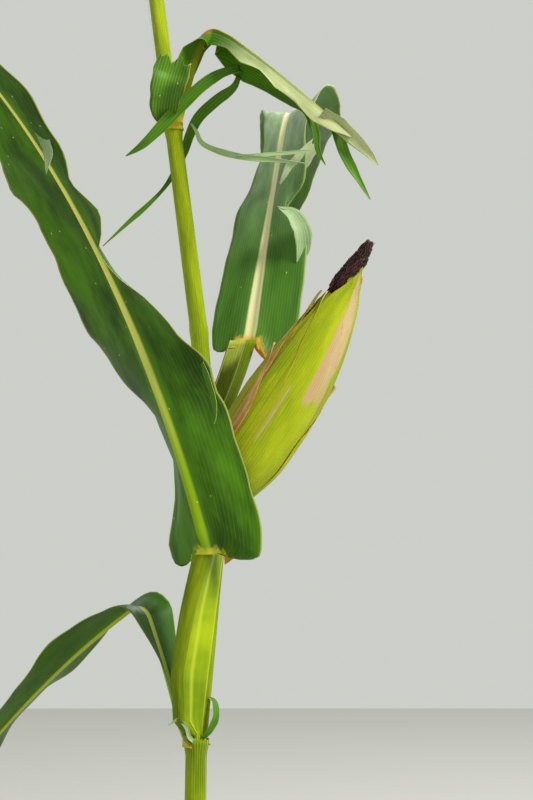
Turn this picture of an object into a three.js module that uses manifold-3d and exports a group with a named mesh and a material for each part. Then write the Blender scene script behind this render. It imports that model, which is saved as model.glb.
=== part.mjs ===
// A whole maize plant: a jointed stalk on its whorl of brace roots, thirteen leaves in two
// ranks whose sheaths wrap the stalk, one ear on its shank with dry silk, and a tassel.
// Millimetres, +Z up. The origin is the centre of the flat cut under the stalk, at ground
// level. Angles are in degrees and headings run anticlockwise from +X, seen from above.

import * as THREE from 'three';
import { mergeVertices } from 'three/addons/utils/BufferGeometryUtils.js';
import Module from 'manifold-3d';

const wasm = await Module();
wasm.setup();

// Driving dimensions

const clearance = 0.35;
const finestEdge = 0.02;
const stalkTip = 2185;
const stalkFootRadius = 12.2;
const stalkTipRadius = 2.7;
const stalkTaperPower = 0.9;
const stalkSides = 10;
const flareHeight = 55;
const flareRadius = 4.5;
const jointSwelling = 0.7;
const jointHalfHeight = 9;
const jointAboveCollar = 7;
const firstJoint = 64;

const sheathWall = 1.6;
const sheathGap = 1.5;
const collarFlare = 2.2;
const collarFlareHeight = 16;
const wrapHalfAngle = 115;
const wrapShare = 0.03;

const pathSteps = 160;
const bladeAcross = 4;
const bladeMarginThickness = 2.2;
const keelShare = 0.0105;
const widestAt = 0.3;
const taperFrom = 0.38;
const rootSink = 6.4;
const tipFold = 9;

const rootCount = 9;
const rootRadius = 3.4;
const rootTop = 46;
const rootSpread = 34;

// The leaves from the lowest to the flag leaf. height is the collar's height and stalkX
// and stalkY the place of the stalk's axis there. rise is the blade's slope at the collar,
// droop what it loses on the way to the tip, and swing how far its heading turns.
const leaves = [
  { height: 182, stalkX: -2, stalkY: 1, heading: 262, length: 470, halfWidth: 25,
    rise: 46, droop: 104, droopPower: 1.1, swing: 14, waves: 4 },
  { height: 302, stalkX: 2, stalkY: -2, heading: 84, length: 600, halfWidth: 32,
    rise: 52, droop: 118, droopPower: 1.1, swing: -16, waves: 5 },
  { height: 432, stalkX: -2, stalkY: 2, heading: 264, length: 700, halfWidth: 38,
    rise: 50, droop: 118, droopPower: 1.05, swing: 24, waves: 5, ripple: 0.12 },
  { height: 572, stalkX: 2, stalkY: -2, heading: 91, length: 790, halfWidth: 42,
    rise: 52, droop: 122, droopPower: 1.05, swing: -22, waves: 5, ripple: 0.12 },
  { height: 727, stalkX: -3, stalkY: 2, heading: 288, length: 820, halfWidth: 44,
    rise: 40, droop: 108, droopPower: 1.0, swing: 30, waves: 5, ripple: 0.12 },
  { height: 892, stalkX: -0.5, stalkY: 0, heading: 141, length: 640, halfWidth: 30,
    rise: 72, droop: 38, droopPower: 1.0, swing: 8, waves: 4,
    crease: 96, creaseAt: 0.17, creaseSpan: 0.05, roll: 20 },
  { height: 1057, stalkX: 15.3, stalkY: 0, heading: 251, length: 880, halfWidth: 45,
    rise: 56, droop: 105, droopPower: 3.2, swing: -57, waves: 3, phase: 4.7, shift: -0.15,
    ripple: 0.27, fold: 36, foldMid: 6, foldTop: 5, roll: -16, rollMid: -2, rollEnd: -40,
    base: 1, seat: 284 },
  { height: 1231, stalkX: 1.7, stalkY: 0, heading: 68, length: 700, halfWidth: 47,
    rise: 71, droop: 69, droopPower: 1.0, swing: 38, waves: 3, phase: -2.2, shift: 3.6,
    ripple: 0.17, fold: 14, foldMid: 6, roll: 0, rollMid: -42,
    crease: 42, creaseAt: 0.29, creaseSpan: 0.16, base: 0.6 },
  { height: 1416, stalkX: -22, stalkY: 0, heading: 324, length: 222, halfWidth: 38, seat: 285,
    rise: 68, droop: 14, droopPower: 1.0, swing: 16, waves: 1, fold: 30,
    crease: 98, creaseAt: 0.27, creaseSpan: 0.09, roll: 16, base: 1, torn: 0.5 },
  { height: 1602, stalkX: -46, stalkY: -1, heading: 142, length: 690, halfWidth: 39,
    rise: 72, droop: 128, droopPower: 1.3, swing: 18, waves: 5 },
  { height: 1770, stalkX: -61, stalkY: 1, heading: 306, length: 600, halfWidth: 35,
    rise: 74, droop: 118, droopPower: 1.4, swing: -16, waves: 4 },
  { height: 1918, stalkX: -71, stalkY: -1, heading: 128, length: 500, halfWidth: 30,
    rise: 74, droop: 104, droopPower: 1.4, swing: 14, waves: 4 },
  { height: 2040, stalkX: -77, stalkY: 0, heading: 296, length: 380, halfWidth: 23,
    rise: 72, droop: 84, droopPower: 1.5, swing: -12, waves: 3 },
];
const earLeaf = 6;
const looseLeaf = 7;
const tornLeaf = 8;

// Strips torn from the creased leaf: where they leave the blade, and their route from there.
const ribbonHalfThickness = 0.8;
const looseStrips = [
  { u: -0.85, t: 0.54, width: 12,
    route: [[4, 1, 5], [-24, -3, -8], [-48, -3, -34], [-74, 0, -58], [-98, 4, -86]] },
  { u: -0.75, t: 0.56, width: 12,
    route: [[3, 1, 4], [-16, -3, -2], [-32, -4, -16], [-44, -3, -36], [-38, -4, -50],
      [-22, -5, -58], [4, -6, -64], [38, -6, -65], [70, -7, -61]] },
  { u: -0.7, t: 0.97, width: 12, route: [[-10, 0, 8], [0, 0, 0], [16, -2, -16], [34, -3, -36]] },
  { u: 0.1, t: 0.97, width: 11, route: [[-9, 0, 8], [0, 0, 0], [12, -3, -24], [24, -5, -52]] },
  { u: 0.85, t: 0.97, width: 9, route: [[-7, 0, 9], [0, 0, 0], [6, -4, -28], [14, -6, -50], [28, -7, -64]] },
];

// The ear: a shank in the axil of the ear leaf, the husks round the cob, and the silk.
const shankRadius = 6.5;
const earBase = [4, -28, 1081];
const earTip = [140, -50, 1297];
const earRadius = 31.5;
const earSides = 16;
const earRings = 12;
const earSag = 5;
const huskTips = 5;
const silkStrands = 8;
const silkLength = 52;

// The pocket of the ear leaf's sheath: height, its reach from the stalk and its heading.
const sheathPocket = [
  [893.5, 0.5, 206],
  [908, 14, 206],
  [950, 21, 210],
  [1000, 22, 226],
  [1057, 24, 252],
];

// The loose sheath: the ear's neighbour above peels off the stalk to the right.
const looseFrom = 1135;
const looseCollar = [39, 6, 1231];
const looseRadius = 12;

const tasselBranches = 11;
const tasselSpike = 235;
const tasselBranchLength = 190;
const tasselRadius = 3.2;

// Small helpers

const radians = THREE.MathUtils.degToRad;
const mix = THREE.MathUtils.lerp;
const ramp = THREE.MathUtils.smoothstep;

function scatter(seed) {
  const wave = Math.sin(seed * 12.9898) * 43758.5453;
  return wave - Math.floor(wave);
}

function heading(angle, reach, height = 0) {
  return new THREE.Vector3(reach * Math.cos(radians(angle)), reach * Math.sin(radians(angle)), height);
}

// A three.js geometry whose vertices are moved by a rule, as a closed solid.
function solidOf(geometry, rule) {
  geometry.deleteAttribute('normal');
  geometry.deleteAttribute('uv');
  const merged = mergeVertices(geometry, 1e-5);
  const places = merged.attributes.position;
  const vertProperties = new Float32Array(places.count * 3);
  for (let k = 0; k < places.count; k++) {
    const place = rule(new THREE.Vector3().fromBufferAttribute(places, k));
    vertProperties.set([place.x, place.y, place.z], k * 3);
  }
  const triVerts = new Uint32Array(merged.index.array);
  return new wasm.Manifold(new wasm.Mesh({ numProp: 3, vertProperties, triVerts }));
}

// A rod whose rings follow centre(k) and radius(k); k counts the rings from 0.
function rod(sides, rings, ringAt) {
  return solidOf(new THREE.CylinderGeometry(1, 1, 1, sides, rings - 1), (p) => {
    const ring = ringAt(Math.round((p.y + 0.5) * (rings - 1)));
    const reach = ring.radius;
    return ring.centre.clone()
      .addScaledVector(ring.side, p.x * reach)
      .addScaledVector(ring.front, -p.z * reach);
  });
}

// A rod along a curve, with its own frame turned as little as possible.
function curvedRod(curve, sides, rings, radiusAt) {
  const frames = curve.computeFrenetFrames(rings - 1, false);
  return rod(sides, rings, (k) => {
    const share = k / (rings - 1);
    const side = frames.normals[k];
    const front = frames.tangents[k].clone().cross(side);
    return { centre: curve.getPointAt(share), radius: radiusAt(share), side, front };
  });
}

function curveThrough(points) {
  return new THREE.CatmullRomCurve3(points.map((p) => new THREE.Vector3(...p)));
}

// The largest closed shell of a solid, which drops loose scraps and fills sealed hollows.
function largest(solid) {
  const mesh = solid.simplify(finestEdge).getMesh();
  const owner = [...Array(mesh.vertProperties.length / 3).keys()];
  const rootOf = (k) => {
    while (owner[k] !== k) {
      owner[k] = owner[owner[k]];
      k = owner[k];
    }
    return k;
  };
  const corners = mesh.triVerts;
  for (let k = 0; k < corners.length; k += 3) {
    owner[rootOf(corners[k])] = rootOf(corners[k + 1]);
    owner[rootOf(corners[k + 1])] = rootOf(corners[k + 2]);
  }
  const shells = new Map();
  for (let k = 0; k < corners.length; k += 3) {
    const root = rootOf(corners[k]);
    shells.set(root, [...(shells.get(root) ?? []), corners[k], corners[k + 1], corners[k + 2]]);
  }
  const main = [...shells.values()].reduce((best, shell) => (shell.length > best.length ? shell : best));
  return new wasm.Manifold(new wasm.Mesh({
    numProp: 3,
    vertProperties: mesh.vertProperties,
    triVerts: new Uint32Array(main),
  }));
}

// The stalk

const axisPoints = [
  [0, 0, 0],
  ...leaves.map((leaf) => [leaf.height + jointAboveCollar, leaf.stalkX, leaf.stalkY]),
  [stalkTip, leaves.at(-1).stalkX - 4, 0],
];
const joints = leaves.map((leaf, k) => (k ? leaves[k - 1].height + jointAboveCollar : firstJoint));

function stalkCentre(height) {
  let k = 1;
  while (k < axisPoints.length - 1 && axisPoints[k][0] < height) {
    k += 1;
  }
  const [low, lowX, lowY] = axisPoints[k - 1];
  const [high, highX, highY] = axisPoints[k];
  const share = (height - low) / (high - low);
  return new THREE.Vector3(mix(lowX, highX, share), mix(lowY, highY, share), height);
}

function stalkRadius(height) {
  const share = Math.max(0, height / stalkTip) ** stalkTaperPower;
  let radius = mix(stalkFootRadius, stalkTipRadius, share);
  radius += flareRadius * (1 - ramp(height, 0, flareHeight));
  for (const joint of joints) {
    radius += jointSwelling * (1 - ramp(Math.abs(height - joint), 0, jointHalfHeight));
  }
  return radius;
}

function levelsBetween(low, high) {
  const levels = new Set([low, high]);
  for (const joint of joints) {
    for (const shift of [-jointHalfHeight, 0, jointHalfHeight]) {
      levels.add(joint + shift);
    }
  }
  return [...levels].filter((z) => z >= low && z <= high).sort((a, b) => a - b);
}

// A rod round the stalk's axis, wider than the stalk by extra(height).
function stalkRod(levels, extra) {
  return rod(stalkSides, levels.length, (k) => {
    const centre = stalkCentre(levels[k]);
    const radius = stalkRadius(levels[k]) + extra(levels[k]);
    return { centre, radius, side: new THREE.Vector3(1, 0, 0), front: new THREE.Vector3(0, 1, 0) };
  });
}

const underGround = 40;

function stalkSolid() {
  const levels = [-underGround, 0, 12, 25, 40, ...levelsBetween(flareHeight, stalkTip)];
  let solid = stalkRod(levels, () => 0);
  for (let k = 0; k < rootCount; k++) {
    const turn = (360 / rootCount) * (k + 0.35 * scatter(k + 3));
    const spread = rootSpread * (0.85 + 0.3 * scatter(k + 11));
    const route = new THREE.CatmullRomCurve3([
      heading(turn, stalkFootRadius - 5, rootTop + 4),
      heading(turn, stalkFootRadius + 5, rootTop - 8),
      heading(turn, mix(stalkFootRadius, spread, 0.7), rootTop * 0.4),
      heading(turn, spread, -4),
    ]);
    solid = solid.add(curvedRod(route, 5, 4, (share) => rootRadius * (1 - 0.25 * share)));
  }
  const ground = new THREE.BoxGeometry(400, 400, 2 * underGround);
  return solid.subtract(solidOf(ground, (p) => p.setZ(p.z - underGround)));
}

// The stalk's room: nothing that wraps the stalk comes nearer than the clearance.
const stalkRoom = stalkRod(
  [-underGround, 0, 12, 25, 40, ...levelsBetween(flareHeight, stalkTip), stalkTip + 5],
  () => clearance,
);

// The sheaths

function sheathOuter(height) {
  return stalkRadius(height) + clearance + sheathWall;
}

function sheathFoot(number) {
  return number ? leaves[number - 1].height + sheathGap : firstJoint;
}

function collarExtra(height, collar) {
  return collarFlare * ramp(height, collar - collarFlareHeight, collar);
}

function tightSheath(number, top) {
  const foot = sheathFoot(number);
  const levels = levelsBetween(foot, top).filter((z) => z === foot || z - foot > 3);
  if (top > foot + 2 * collarFlareHeight) {
    levels.push(top - collarFlareHeight, top - collarFlareHeight / 2);
    levels.sort((a, b) => a - b);
  }
  const collar = leaves[number].height;
  return stalkRod(levels, (z) => clearance + sheathWall + collarExtra(z, collar));
}

function pocketAt(height) {
  let k = 1;
  while (k < sheathPocket.length - 1 && sheathPocket[k][0] < height) {
    k += 1;
  }
  const [low, lowReach, lowTurn] = sheathPocket[k - 1];
  const [high, highReach, highTurn] = sheathPocket[k];
  const share = THREE.MathUtils.clamp((height - low) / (high - low), 0, 1);
  return { reach: mix(lowReach, highReach, share), turn: mix(lowTurn, highTurn, share) };
}

// The ear leaf's sheath is round the stalk on one side and round the shank on the other.
function pocketRod(levels, extra) {
  const sides = 12;
  return solidOf(new THREE.CylinderGeometry(1, 1, 1, sides, levels.length - 1), (p) => {
    const height = levels[Math.round((p.y + 0.5) * (levels.length - 1))];
    const { reach, turn } = pocketAt(height);
    const centre = stalkCentre(height);
    if (Math.hypot(p.x, p.z) < 0.5) {
      return centre.add(heading(turn, reach / 2));
    }
    const angle = Math.atan2(-p.z, p.x) + radians(turn + 360 / sides / 2);
    const onShankSide = Math.cos(angle - radians(turn)) > 0;
    const radius = onShankSide ? shankRadius + extra : stalkRadius(height) + extra;
    return centre
      .add(heading(turn, onShankSide ? reach : 0))
      .add(new THREE.Vector3(Math.cos(angle), Math.sin(angle), 0).multiplyScalar(radius));
  });
}

function earSheath() {
  const collar = leaves[earLeaf].height;
  const levels = [...sheathPocket.map((level) => level[0]), 930, 1030].sort((a, b) => a - b);
  const outer = pocketRod(levels, clearance + sheathWall + 0.3);
  const innerLevels = [levels[0] - 5, ...levels, collar + 8];
  return outer.subtract(pocketRod(innerLevels, clearance + 0.3));
}

// The loose sheath leaves the stalk in a bend and stays open on the side of the stalk.
const looseAxis = new THREE.CatmullRomCurve3([
  stalkCentre(looseFrom - 30),
  stalkCentre(looseFrom),
  stalkCentre(looseFrom + 35).add(new THREE.Vector3(11, 3, 0)),
  new THREE.Vector3(looseCollar[0] - 9, looseCollar[1] - 1, looseCollar[2] - 28),
  new THREE.Vector3(...looseCollar),
]);

function looseSheath() {
  const wide = (share) => mix(sheathOuter(looseFrom), looseRadius, ramp(share, 0, 0.5));
  const outer = curvedRod(looseAxis, 12, 8, wide);
  const longer = new THREE.CatmullRomCurve3([
    stalkCentre(looseFrom - 40),
    ...looseAxis.points,
    new THREE.Vector3(looseCollar[0] + 2, looseCollar[1] + 1, looseCollar[2] + 10),
  ]);
  const inner = curvedRod(longer, 12, 10, (share) => wide(share) - sheathWall);
  const opening = new THREE.BoxGeometry(14, 60, 110);
  const slit = solidOf(opening, (p) => p.add(new THREE.Vector3(12, -24, looseFrom + 84)));
  return outer.subtract(inner).subtract(slit);
}

// The blades

function wrapOf(number) {
  const leaf = leaves[number];
  const centre = stalkCentre(leaf.height);
  if (number === earLeaf) {
    const { reach, turn } = pocketAt(leaf.height);
    return { centre: centre.add(heading(turn, reach)), radius: shankRadius + sheathWall + 1.5 };
  }
  if (number === looseLeaf) {
    return { centre: new THREE.Vector3(...looseCollar), radius: looseRadius };
  }
  return { centre, radius: sheathOuter(leaf.height) + collarFlare - 0.4 };
}

function rollAt(leaf, t) {
  const { roll = 0, rollMid = 0, rollEnd = 0 } = leaf;
  return mix(mix(roll, rollMid, ramp(t, 0, 0.22)), rollEnd, ramp(t, 0.22, 0.5));
}

// The blade's midrib with a frame at each step: along, side and up, the blade's upper face.
function bladeFrames(number) {
  const leaf = leaves[number];
  const { centre, radius } = wrapOf(number);
  const place = centre.clone().add(heading(leaf.seat ?? leaf.heading, radius, -rootSink));
  const step = leaf.length / pathSteps;
  const creaseStart = leaf.creaseAt ?? 1;
  const frames = [];
  for (let k = 0; k <= pathSteps; k++) {
    const t = k / pathSteps;
    const bent = creaseStart < 1 ? leaf.crease * ramp(t, creaseStart, creaseStart + leaf.creaseSpan) : 0;
    const slope = radians(leaf.rise - leaf.droop * t ** leaf.droopPower - bent);
    const turn = leaf.heading + leaf.swing * t;
    const roll = radians(rollAt(leaf, t));
    const along = heading(turn, Math.cos(slope), Math.sin(slope));
    const level = heading(turn + 90, 1);
    const upright = along.clone().cross(level);
    const side = level.clone().multiplyScalar(Math.cos(roll)).addScaledVector(upright, Math.sin(roll));
    frames.push({ place: place.clone(), along, side, up: along.clone().cross(side) });
    place.addScaledVector(along, step);
  }
  return frames;
}

function halfWidthAt(leaf, t) {
  const share = t * (leaf.torn ?? 1);
  const base = leaf.base ?? 0.55;
  const opened = mix(base, 1, ramp(share, 0, widestAt));
  const past = Math.max(0, (share - taperFrom) / (1 - taperFrom));
  return leaf.halfWidth * opened * (1 - past ** 1.7) + 0.8;
}

function foldAt(leaf, t) {
  const { fold = 26, foldMid = 18, foldTop = 12 } = leaf;
  const opened = mix(mix(fold, foldMid, ramp(t, 0, 0.24)), foldTop, ramp(t, 0.24, 0.48));
  return radians(mix(opened, tipFold, ramp(t, 0.55, 0.9)));
}

function waveAt(leaf, t, u) {
  const grown = ramp(t, 0.04, 0.2) * (1 - ramp(t, 0.7, 1));
  const shift = (leaf.phase ?? leaf.height) + (u > 0 ? 0 : leaf.shift ?? 1.9);
  const height = (leaf.ripple ?? 0.17) * leaf.halfWidth * u * u * grown;
  return height * Math.sin(2 * Math.PI * leaf.waves * t + shift);
}

function bladePoint(number, frames, u, t, side) {
  const leaf = leaves[number];
  const frame = frames[Math.round(t * pathSteps)];
  const half = halfWidthAt(leaf, t);
  const fold = foldAt(leaf, t);
  const keel = Math.max(0.3, 1 - t) * leaf.length * keelShare;
  const thickness = mix(Math.max(keel, 3), bladeMarginThickness, Math.abs(u) ** 0.7);
  const lift = half * Math.abs(u) * Math.sin(fold) + waveAt(leaf, t, u) - (side < 0 ? thickness : 0);
  const open = frame.place.clone()
    .addScaledVector(frame.side, half * u * Math.cos(fold))
    .addScaledVector(frame.up, lift);
  const share = ramp(t, 0, wrapShare);
  if (share >= 1) {
    return open;
  }
  const { centre, radius } = wrapOf(number);
  const outward = radius + (side < 0 ? 1.2 : -0.6);
  const wrapped = centre.clone()
    .add(heading((leaf.seat ?? leaf.heading) + wrapHalfAngle * u, outward, (t / wrapShare) * 10 - rootSink));
  return wrapped.lerp(open, share);
}

function bladeSolid(number, steps) {
  const frames = bladeFrames(number);
  return solidOf(new THREE.BoxGeometry(2, 1, 2, bladeAcross, steps, 1), (p) => {
    const t = (p.y + 0.5) ** 1.25;
    return bladePoint(number, frames, -p.x, t, p.z);
  });
}

// The room of the sheath above, which starts inside this leaf's collar.
function nextSheathRoom(number) {
  const extra = 2 * clearance + sheathWall;
  if (number + 1 === earLeaf) {
    const foot = sheathPocket[0][0] - clearance;
    return pocketRod([foot, ...sheathPocket.slice(0, 3).map((level) => level[0])], extra + 0.3);
  }
  const foot = leaves[number].height + sheathGap - clearance;
  return stalkRod([foot, foot + 5, foot + 15, foot + 60], () => extra);
}

// A torn strip of leaf: a thin ribbon that faces the front.
function ribbon(points, width) {
  const curve = curveThrough(points);
  const steps = 2 * points.length - 2;
  return solidOf(new THREE.BoxGeometry(2, 1, 2, 1, steps, 1), (p) => {
    const t = p.y + 0.5;
    const across = curve.getTangentAt(t).cross(new THREE.Vector3(0, -1, 0)).normalize();
    const half = 0.5 * width * (0.25 + 0.75 * Math.sin(Math.PI * Math.min(0.93, 0.18 + 0.82 * t)));
    return curve.getPointAt(t)
      .addScaledVector(across, -p.x * half)
      .add(new THREE.Vector3(0, p.z * ribbonHalfThickness, 0));
  });
}

function tornStrips() {
  const frames = bladeFrames(tornLeaf);
  const solids = looseStrips.map((strip) => {
    const [from, ...rest] = strip.route;
    const root = bladePoint(tornLeaf, frames, strip.u, strip.t, 0);
    const route = [from, ...rest].map((step) => root.clone().add(new THREE.Vector3(...step)).toArray());
    return ribbon(route, strip.width);
  });
  return solids.reduce((whole, solid) => whole.add(solid));
}

function leafSolid(number) {
  const collar = leaves[number].height;
  let sheath;
  if (number === earLeaf) {
    sheath = earSheath();
  } else if (number === looseLeaf) {
    sheath = tightSheath(number, looseFrom).subtract(stalkRoom).add(looseSheath());
  } else {
    sheath = tightSheath(number, collar);
  }
  let solid = sheath.add(bladeSolid(number, number === tornLeaf ? 14 : 23));
  if (number === tornLeaf) {
    solid = solid.add(tornStrips());
  }
  if (number === earLeaf) {
    solid = solid.subtract(shankRoom).subtract(huskRoom);
  }
  return solid.subtract(stalkRoom).subtract(nextSheathRoom(number));
}

// The ear

const shankAxis = curveThrough([
  ...[902, 925, 950, 975, 1000, 1030, 1052].map((height) => {
    const { reach, turn } = pocketAt(height);
    return stalkCentre(height).add(heading(turn, reach)).toArray();
  }),
  earBase,
]);

// The husks' radius along the ear: a blunt butt, a full middle and a long tapering tip.
function huskRadius(share) {
  const butt = 0.26 + 0.74 * Math.sin(0.5 * Math.PI * Math.min(1, share / 0.3));
  const tip = 1 - Math.max(0, (share - 0.42) / 0.58) ** 1.9;
  return earRadius * butt * Math.max(tip, 0.09);
}

const earStart = new THREE.Vector3(...earBase);
const earEnd = new THREE.Vector3(...earTip);
const earAlong = earEnd.clone().sub(earStart).normalize();
const earLength = earStart.distanceTo(earEnd);
const earFront = new THREE.Vector3(0, -1, 0).addScaledVector(earAlong, earAlong.y).normalize();
const earSide = earFront.clone().cross(earAlong);

function earPoint(share, angle, radius) {
  const sag = earSag * Math.sin(Math.PI * Math.min(1, share));
  return earStart.clone()
    .addScaledVector(earAlong, share * earLength)
    .addScaledVector(earSide, radius * Math.cos(angle) - sag)
    .addScaledVector(earFront, radius * Math.sin(angle));
}

function huskBody(extra) {
  return rod(earSides, earRings, (k) => {
    const share = k / (earRings - 1);
    const reach = share + (k ? extra : -extra) / earLength;
    const radius = huskRadius(share) + extra;
    return { centre: earPoint(reach, 0, 0), radius, side: earSide, front: earFront };
  });
}

const huskRoom = huskBody(clearance);

function earHusks() {
  let solid = huskBody(0);
  for (let k = 0; k < huskTips; k++) {
    const turn = radians(58 * (k - 1.6) * (0.8 + 0.3 * scatter(k)));
    const from = 0.52 + 0.06 * ((3 * k) % huskTips);
    const reach = 0.15;
    solid = solid.add(solidOf(new THREE.BoxGeometry(2, 1, 2, 2, 4, 1), (p) => {
      const t = p.y + 0.5;
      const share = from + reach * t;
      const angle = turn + 0.34 * p.x * (1 - t * t);
      return earPoint(share, angle, huskRadius(from) * (1 - 0.2 * t) + p.z * 0.7 - 0.8);
    }));
  }
  return solid;
}

const shankRoom = curvedRod(shankAxis, 10, 9, () => shankRadius + clearance);

// The shank's foot is cut to the stalk and its top stops short of the husks.
function shankSolid() {
  const solid = curvedRod(shankAxis, 10, 9, () => shankRadius);
  return solid.subtract(stalkRoom).subtract(huskRoom);
}

function earSilk() {
  let solid = null;
  for (let k = 0; k < silkStrands; k++) {
    const turn = radians(100 + 30 * k);
    const spread = 2.5 + 3.5 * scatter(k + 40);
    const length = silkLength * (0.75 + 0.25 * scatter(k + 60));
    const from = 0.9;
    const route = [0, 0.35, 0.7, 1].map((step) => {
      const share = from + (length / earLength) * step;
      const lean = 3 + 9 * step - 6 * step * step;
      return earPoint(share, turn, spread * (1 - 0.4 * step)).addScaledVector(earSide, lean);
    });
    const strand = curvedRod(new THREE.CatmullRomCurve3(route), 5, 5, (share) => 3.8 * (1 - 0.55 * share));
    solid = solid ? solid.add(strand) : strand;
  }
  return solid.subtract(huskRoom);
}

// The tassel: a central spike on the stalk's tip, and branches from its foot.

function tasselSolid() {
  const foot = stalkCentre(stalkTip).add(new THREE.Vector3(0, 0, clearance));
  const spike = new THREE.CatmullRomCurve3([0, 0.4, 0.75, 1].map(
    (step) => foot.clone().add(new THREE.Vector3(-10 * step * step, -6 * step, tasselSpike * step)),
  ));
  const fat = (share) => tasselRadius * (share < 0.12 ? 0.8 : 1.15 - 0.85 * Math.max(0, share - 0.5));
  let solid = curvedRod(spike, 6, 7, fat);
  for (let k = 0; k < tasselBranches; k++) {
    const turn = 137.5 * k + 20;
    const height = 14 + 7.5 * k;
    const length = tasselBranchLength * (1 - 0.035 * k) * (0.85 + 0.3 * scatter(k + 7));
    const open = 0.42 + 0.25 * scatter(k + 21);
    const start = spike.getPointAt(height / tasselSpike);
    const route = new THREE.CatmullRomCurve3([0, 0.3, 0.65, 1].map((step) => start.clone().add(
      heading(turn, length * step * open * (1 + 0.5 * step), length * step * (0.86 - 0.42 * step)),
    )));
    const slim = (share) => (tasselRadius - 0.5) * (share < 0.15 ? 0.55 : 1.05 - 0.55 * share);
    solid = solid.add(curvedRod(route, 5, 5, slim));
  }
  return solid;
}

const leafGreen = 0x4e8a2a;
const group = new THREE.Group();

function place(name, solid, color, roughness) {
  const mesh = largest(solid).getMesh();
  const geometry = new THREE.BufferGeometry();
  geometry.setAttribute('position', new THREE.BufferAttribute(new Float32Array(mesh.vertProperties), 3));
  geometry.setIndex(new THREE.BufferAttribute(new Uint32Array(mesh.triVerts), 1));
  const part = new THREE.Mesh(geometry, new THREE.MeshStandardMaterial({ color, roughness, metalness: 0 }));
  part.name = name;
  group.add(part);
}

place('stalk', stalkSolid(), 0x9db83a, 0.6);
leaves.forEach((leaf, number) => {
  const name = `leaf_${String(number + 1).padStart(2, '0')}`;
  place(name, leafSolid(number), leafGreen, 0.5);
});

place('ear_shank', shankSolid(), 0x9db83a, 0.6);
place('ear_husks', earHusks(), 0xb4c83c, 0.6);
place('ear_silk', earSilk(), 0x2a120c, 0.8);
place('tassel', tasselSolid(), 0xb7a24e, 0.8);

export default group;
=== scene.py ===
# A whole maize plant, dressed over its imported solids: stalk, sheaths and blades, ear, silk, tassel.
# Metres and degrees. Headings run anticlockwise from +X, seen from above.
import math
import bpy
import bmesh
import numpy as np
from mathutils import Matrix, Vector


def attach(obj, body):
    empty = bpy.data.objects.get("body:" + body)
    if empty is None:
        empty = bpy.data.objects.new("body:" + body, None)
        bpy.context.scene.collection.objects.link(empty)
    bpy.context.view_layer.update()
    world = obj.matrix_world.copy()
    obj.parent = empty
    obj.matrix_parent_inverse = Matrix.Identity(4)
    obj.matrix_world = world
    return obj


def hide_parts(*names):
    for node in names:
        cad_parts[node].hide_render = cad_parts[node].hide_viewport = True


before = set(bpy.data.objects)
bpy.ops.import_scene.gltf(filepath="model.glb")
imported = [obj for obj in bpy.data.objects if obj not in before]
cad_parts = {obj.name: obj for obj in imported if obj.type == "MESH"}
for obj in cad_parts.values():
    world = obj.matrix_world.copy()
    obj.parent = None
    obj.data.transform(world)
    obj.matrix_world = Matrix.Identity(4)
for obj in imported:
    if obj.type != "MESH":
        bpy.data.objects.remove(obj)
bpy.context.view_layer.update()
mm = 0.001


# small helpers for shapes
def ramp(x, low, high):
    share = np.clip((np.asarray(x, float) - low) / (high - low), 0, 1)
    return share * share * (3 - 2 * share)


def mix(a, b, share):
    return a + (b - a) * share


def scatter(seed):
    wave = math.sin(seed * 12.9898) * 43758.5453
    return wave - math.floor(wave)


def heading(angle, reach, height=0.0):
    turn = np.radians(angle)
    return np.stack(np.broadcast_arrays(reach * np.cos(turn), reach * np.sin(turn), height), -1)


def unit(v):
    return v / np.maximum(np.linalg.norm(v, axis=-1, keepdims=True), 1e-12)


def bump(x, middle, width):
    return np.exp(-((x - middle) / width) ** 2)


def ripple(x, y, seed):
    # a smooth wandering value of about -1 to 1
    a, b, c = (scatter(seed + k) * 6.28 for k in (1, 2, 3))
    return (np.sin(x + a) + np.sin(0.61 * y - 0.37 * x + b) + np.sin(1.73 * y + 0.8 * x + c)) / 3


def sampled(rows, at, places):
    # rows of three numbers that stand at these places, read between them
    return np.stack([np.interp(at, places, rows[:, k]) for k in range(3)], -1)


def runAlong(path, power=1.0):
    return np.concatenate([[0], np.cumsum(np.linalg.norm(np.diff(path, axis=0), axis=1) ** power)])


def curveThrough(points, count):
    # a centripetal curve through the points, at even steps along its length
    points = np.array(points, float)
    ends = np.vstack([2 * points[0] - points[1], points, 2 * points[-1] - points[-2]])
    fine = []
    for k in range(len(points) - 1):
        p = ends[k:k + 4]
        knot = runAlong(p, 0.5)
        t = np.linspace(knot[1], knot[2], 24, endpoint=k == len(points) - 2)[:, None]
        a = [((knot[j + 1] - t) * p[j] + (t - knot[j]) * p[j + 1]) / (knot[j + 1] - knot[j]) for j in range(3)]
        b = [((knot[j + 2] - t) * a[j] + (t - knot[j]) * a[j + 1]) / (knot[j + 2] - knot[j]) for j in range(2)]
        fine.append(((knot[2] - t) * b[0] + (t - knot[1]) * b[1]) / (knot[2] - knot[1]))
    fine = np.vstack(fine)
    run = runAlong(fine)
    return sampled(fine, np.linspace(0, run[-1], count), run)


def railFrames(path):
    # tangent, side and front along a path, turned as little as possible
    tangent = unit(np.gradient(path, axis=0))
    side = np.zeros_like(path)
    side[0] = unit(np.cross([0, 1.0, 0] if abs(tangent[0][1]) < 0.8 else [1.0, 0, 0], tangent[0]))
    for k in range(1, len(path)):
        side[k] = unit(side[k - 1] - tangent[k] * (side[k - 1] @ tangent[k]))
    return tangent, side, np.cross(tangent, side)


# making meshes
def linked(name, data):
    made = bpy.data.objects.new(name, data)
    bpy.context.scene.collection.objects.link(made)
    return made


def finished(mesh, looks, node):
    piece = linked(mesh.name, mesh)
    for look in looks:
        mesh.materials.append(bpy.data.materials[look])
    mesh.shade_smooth()
    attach(piece, "root")
    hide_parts(node)


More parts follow.
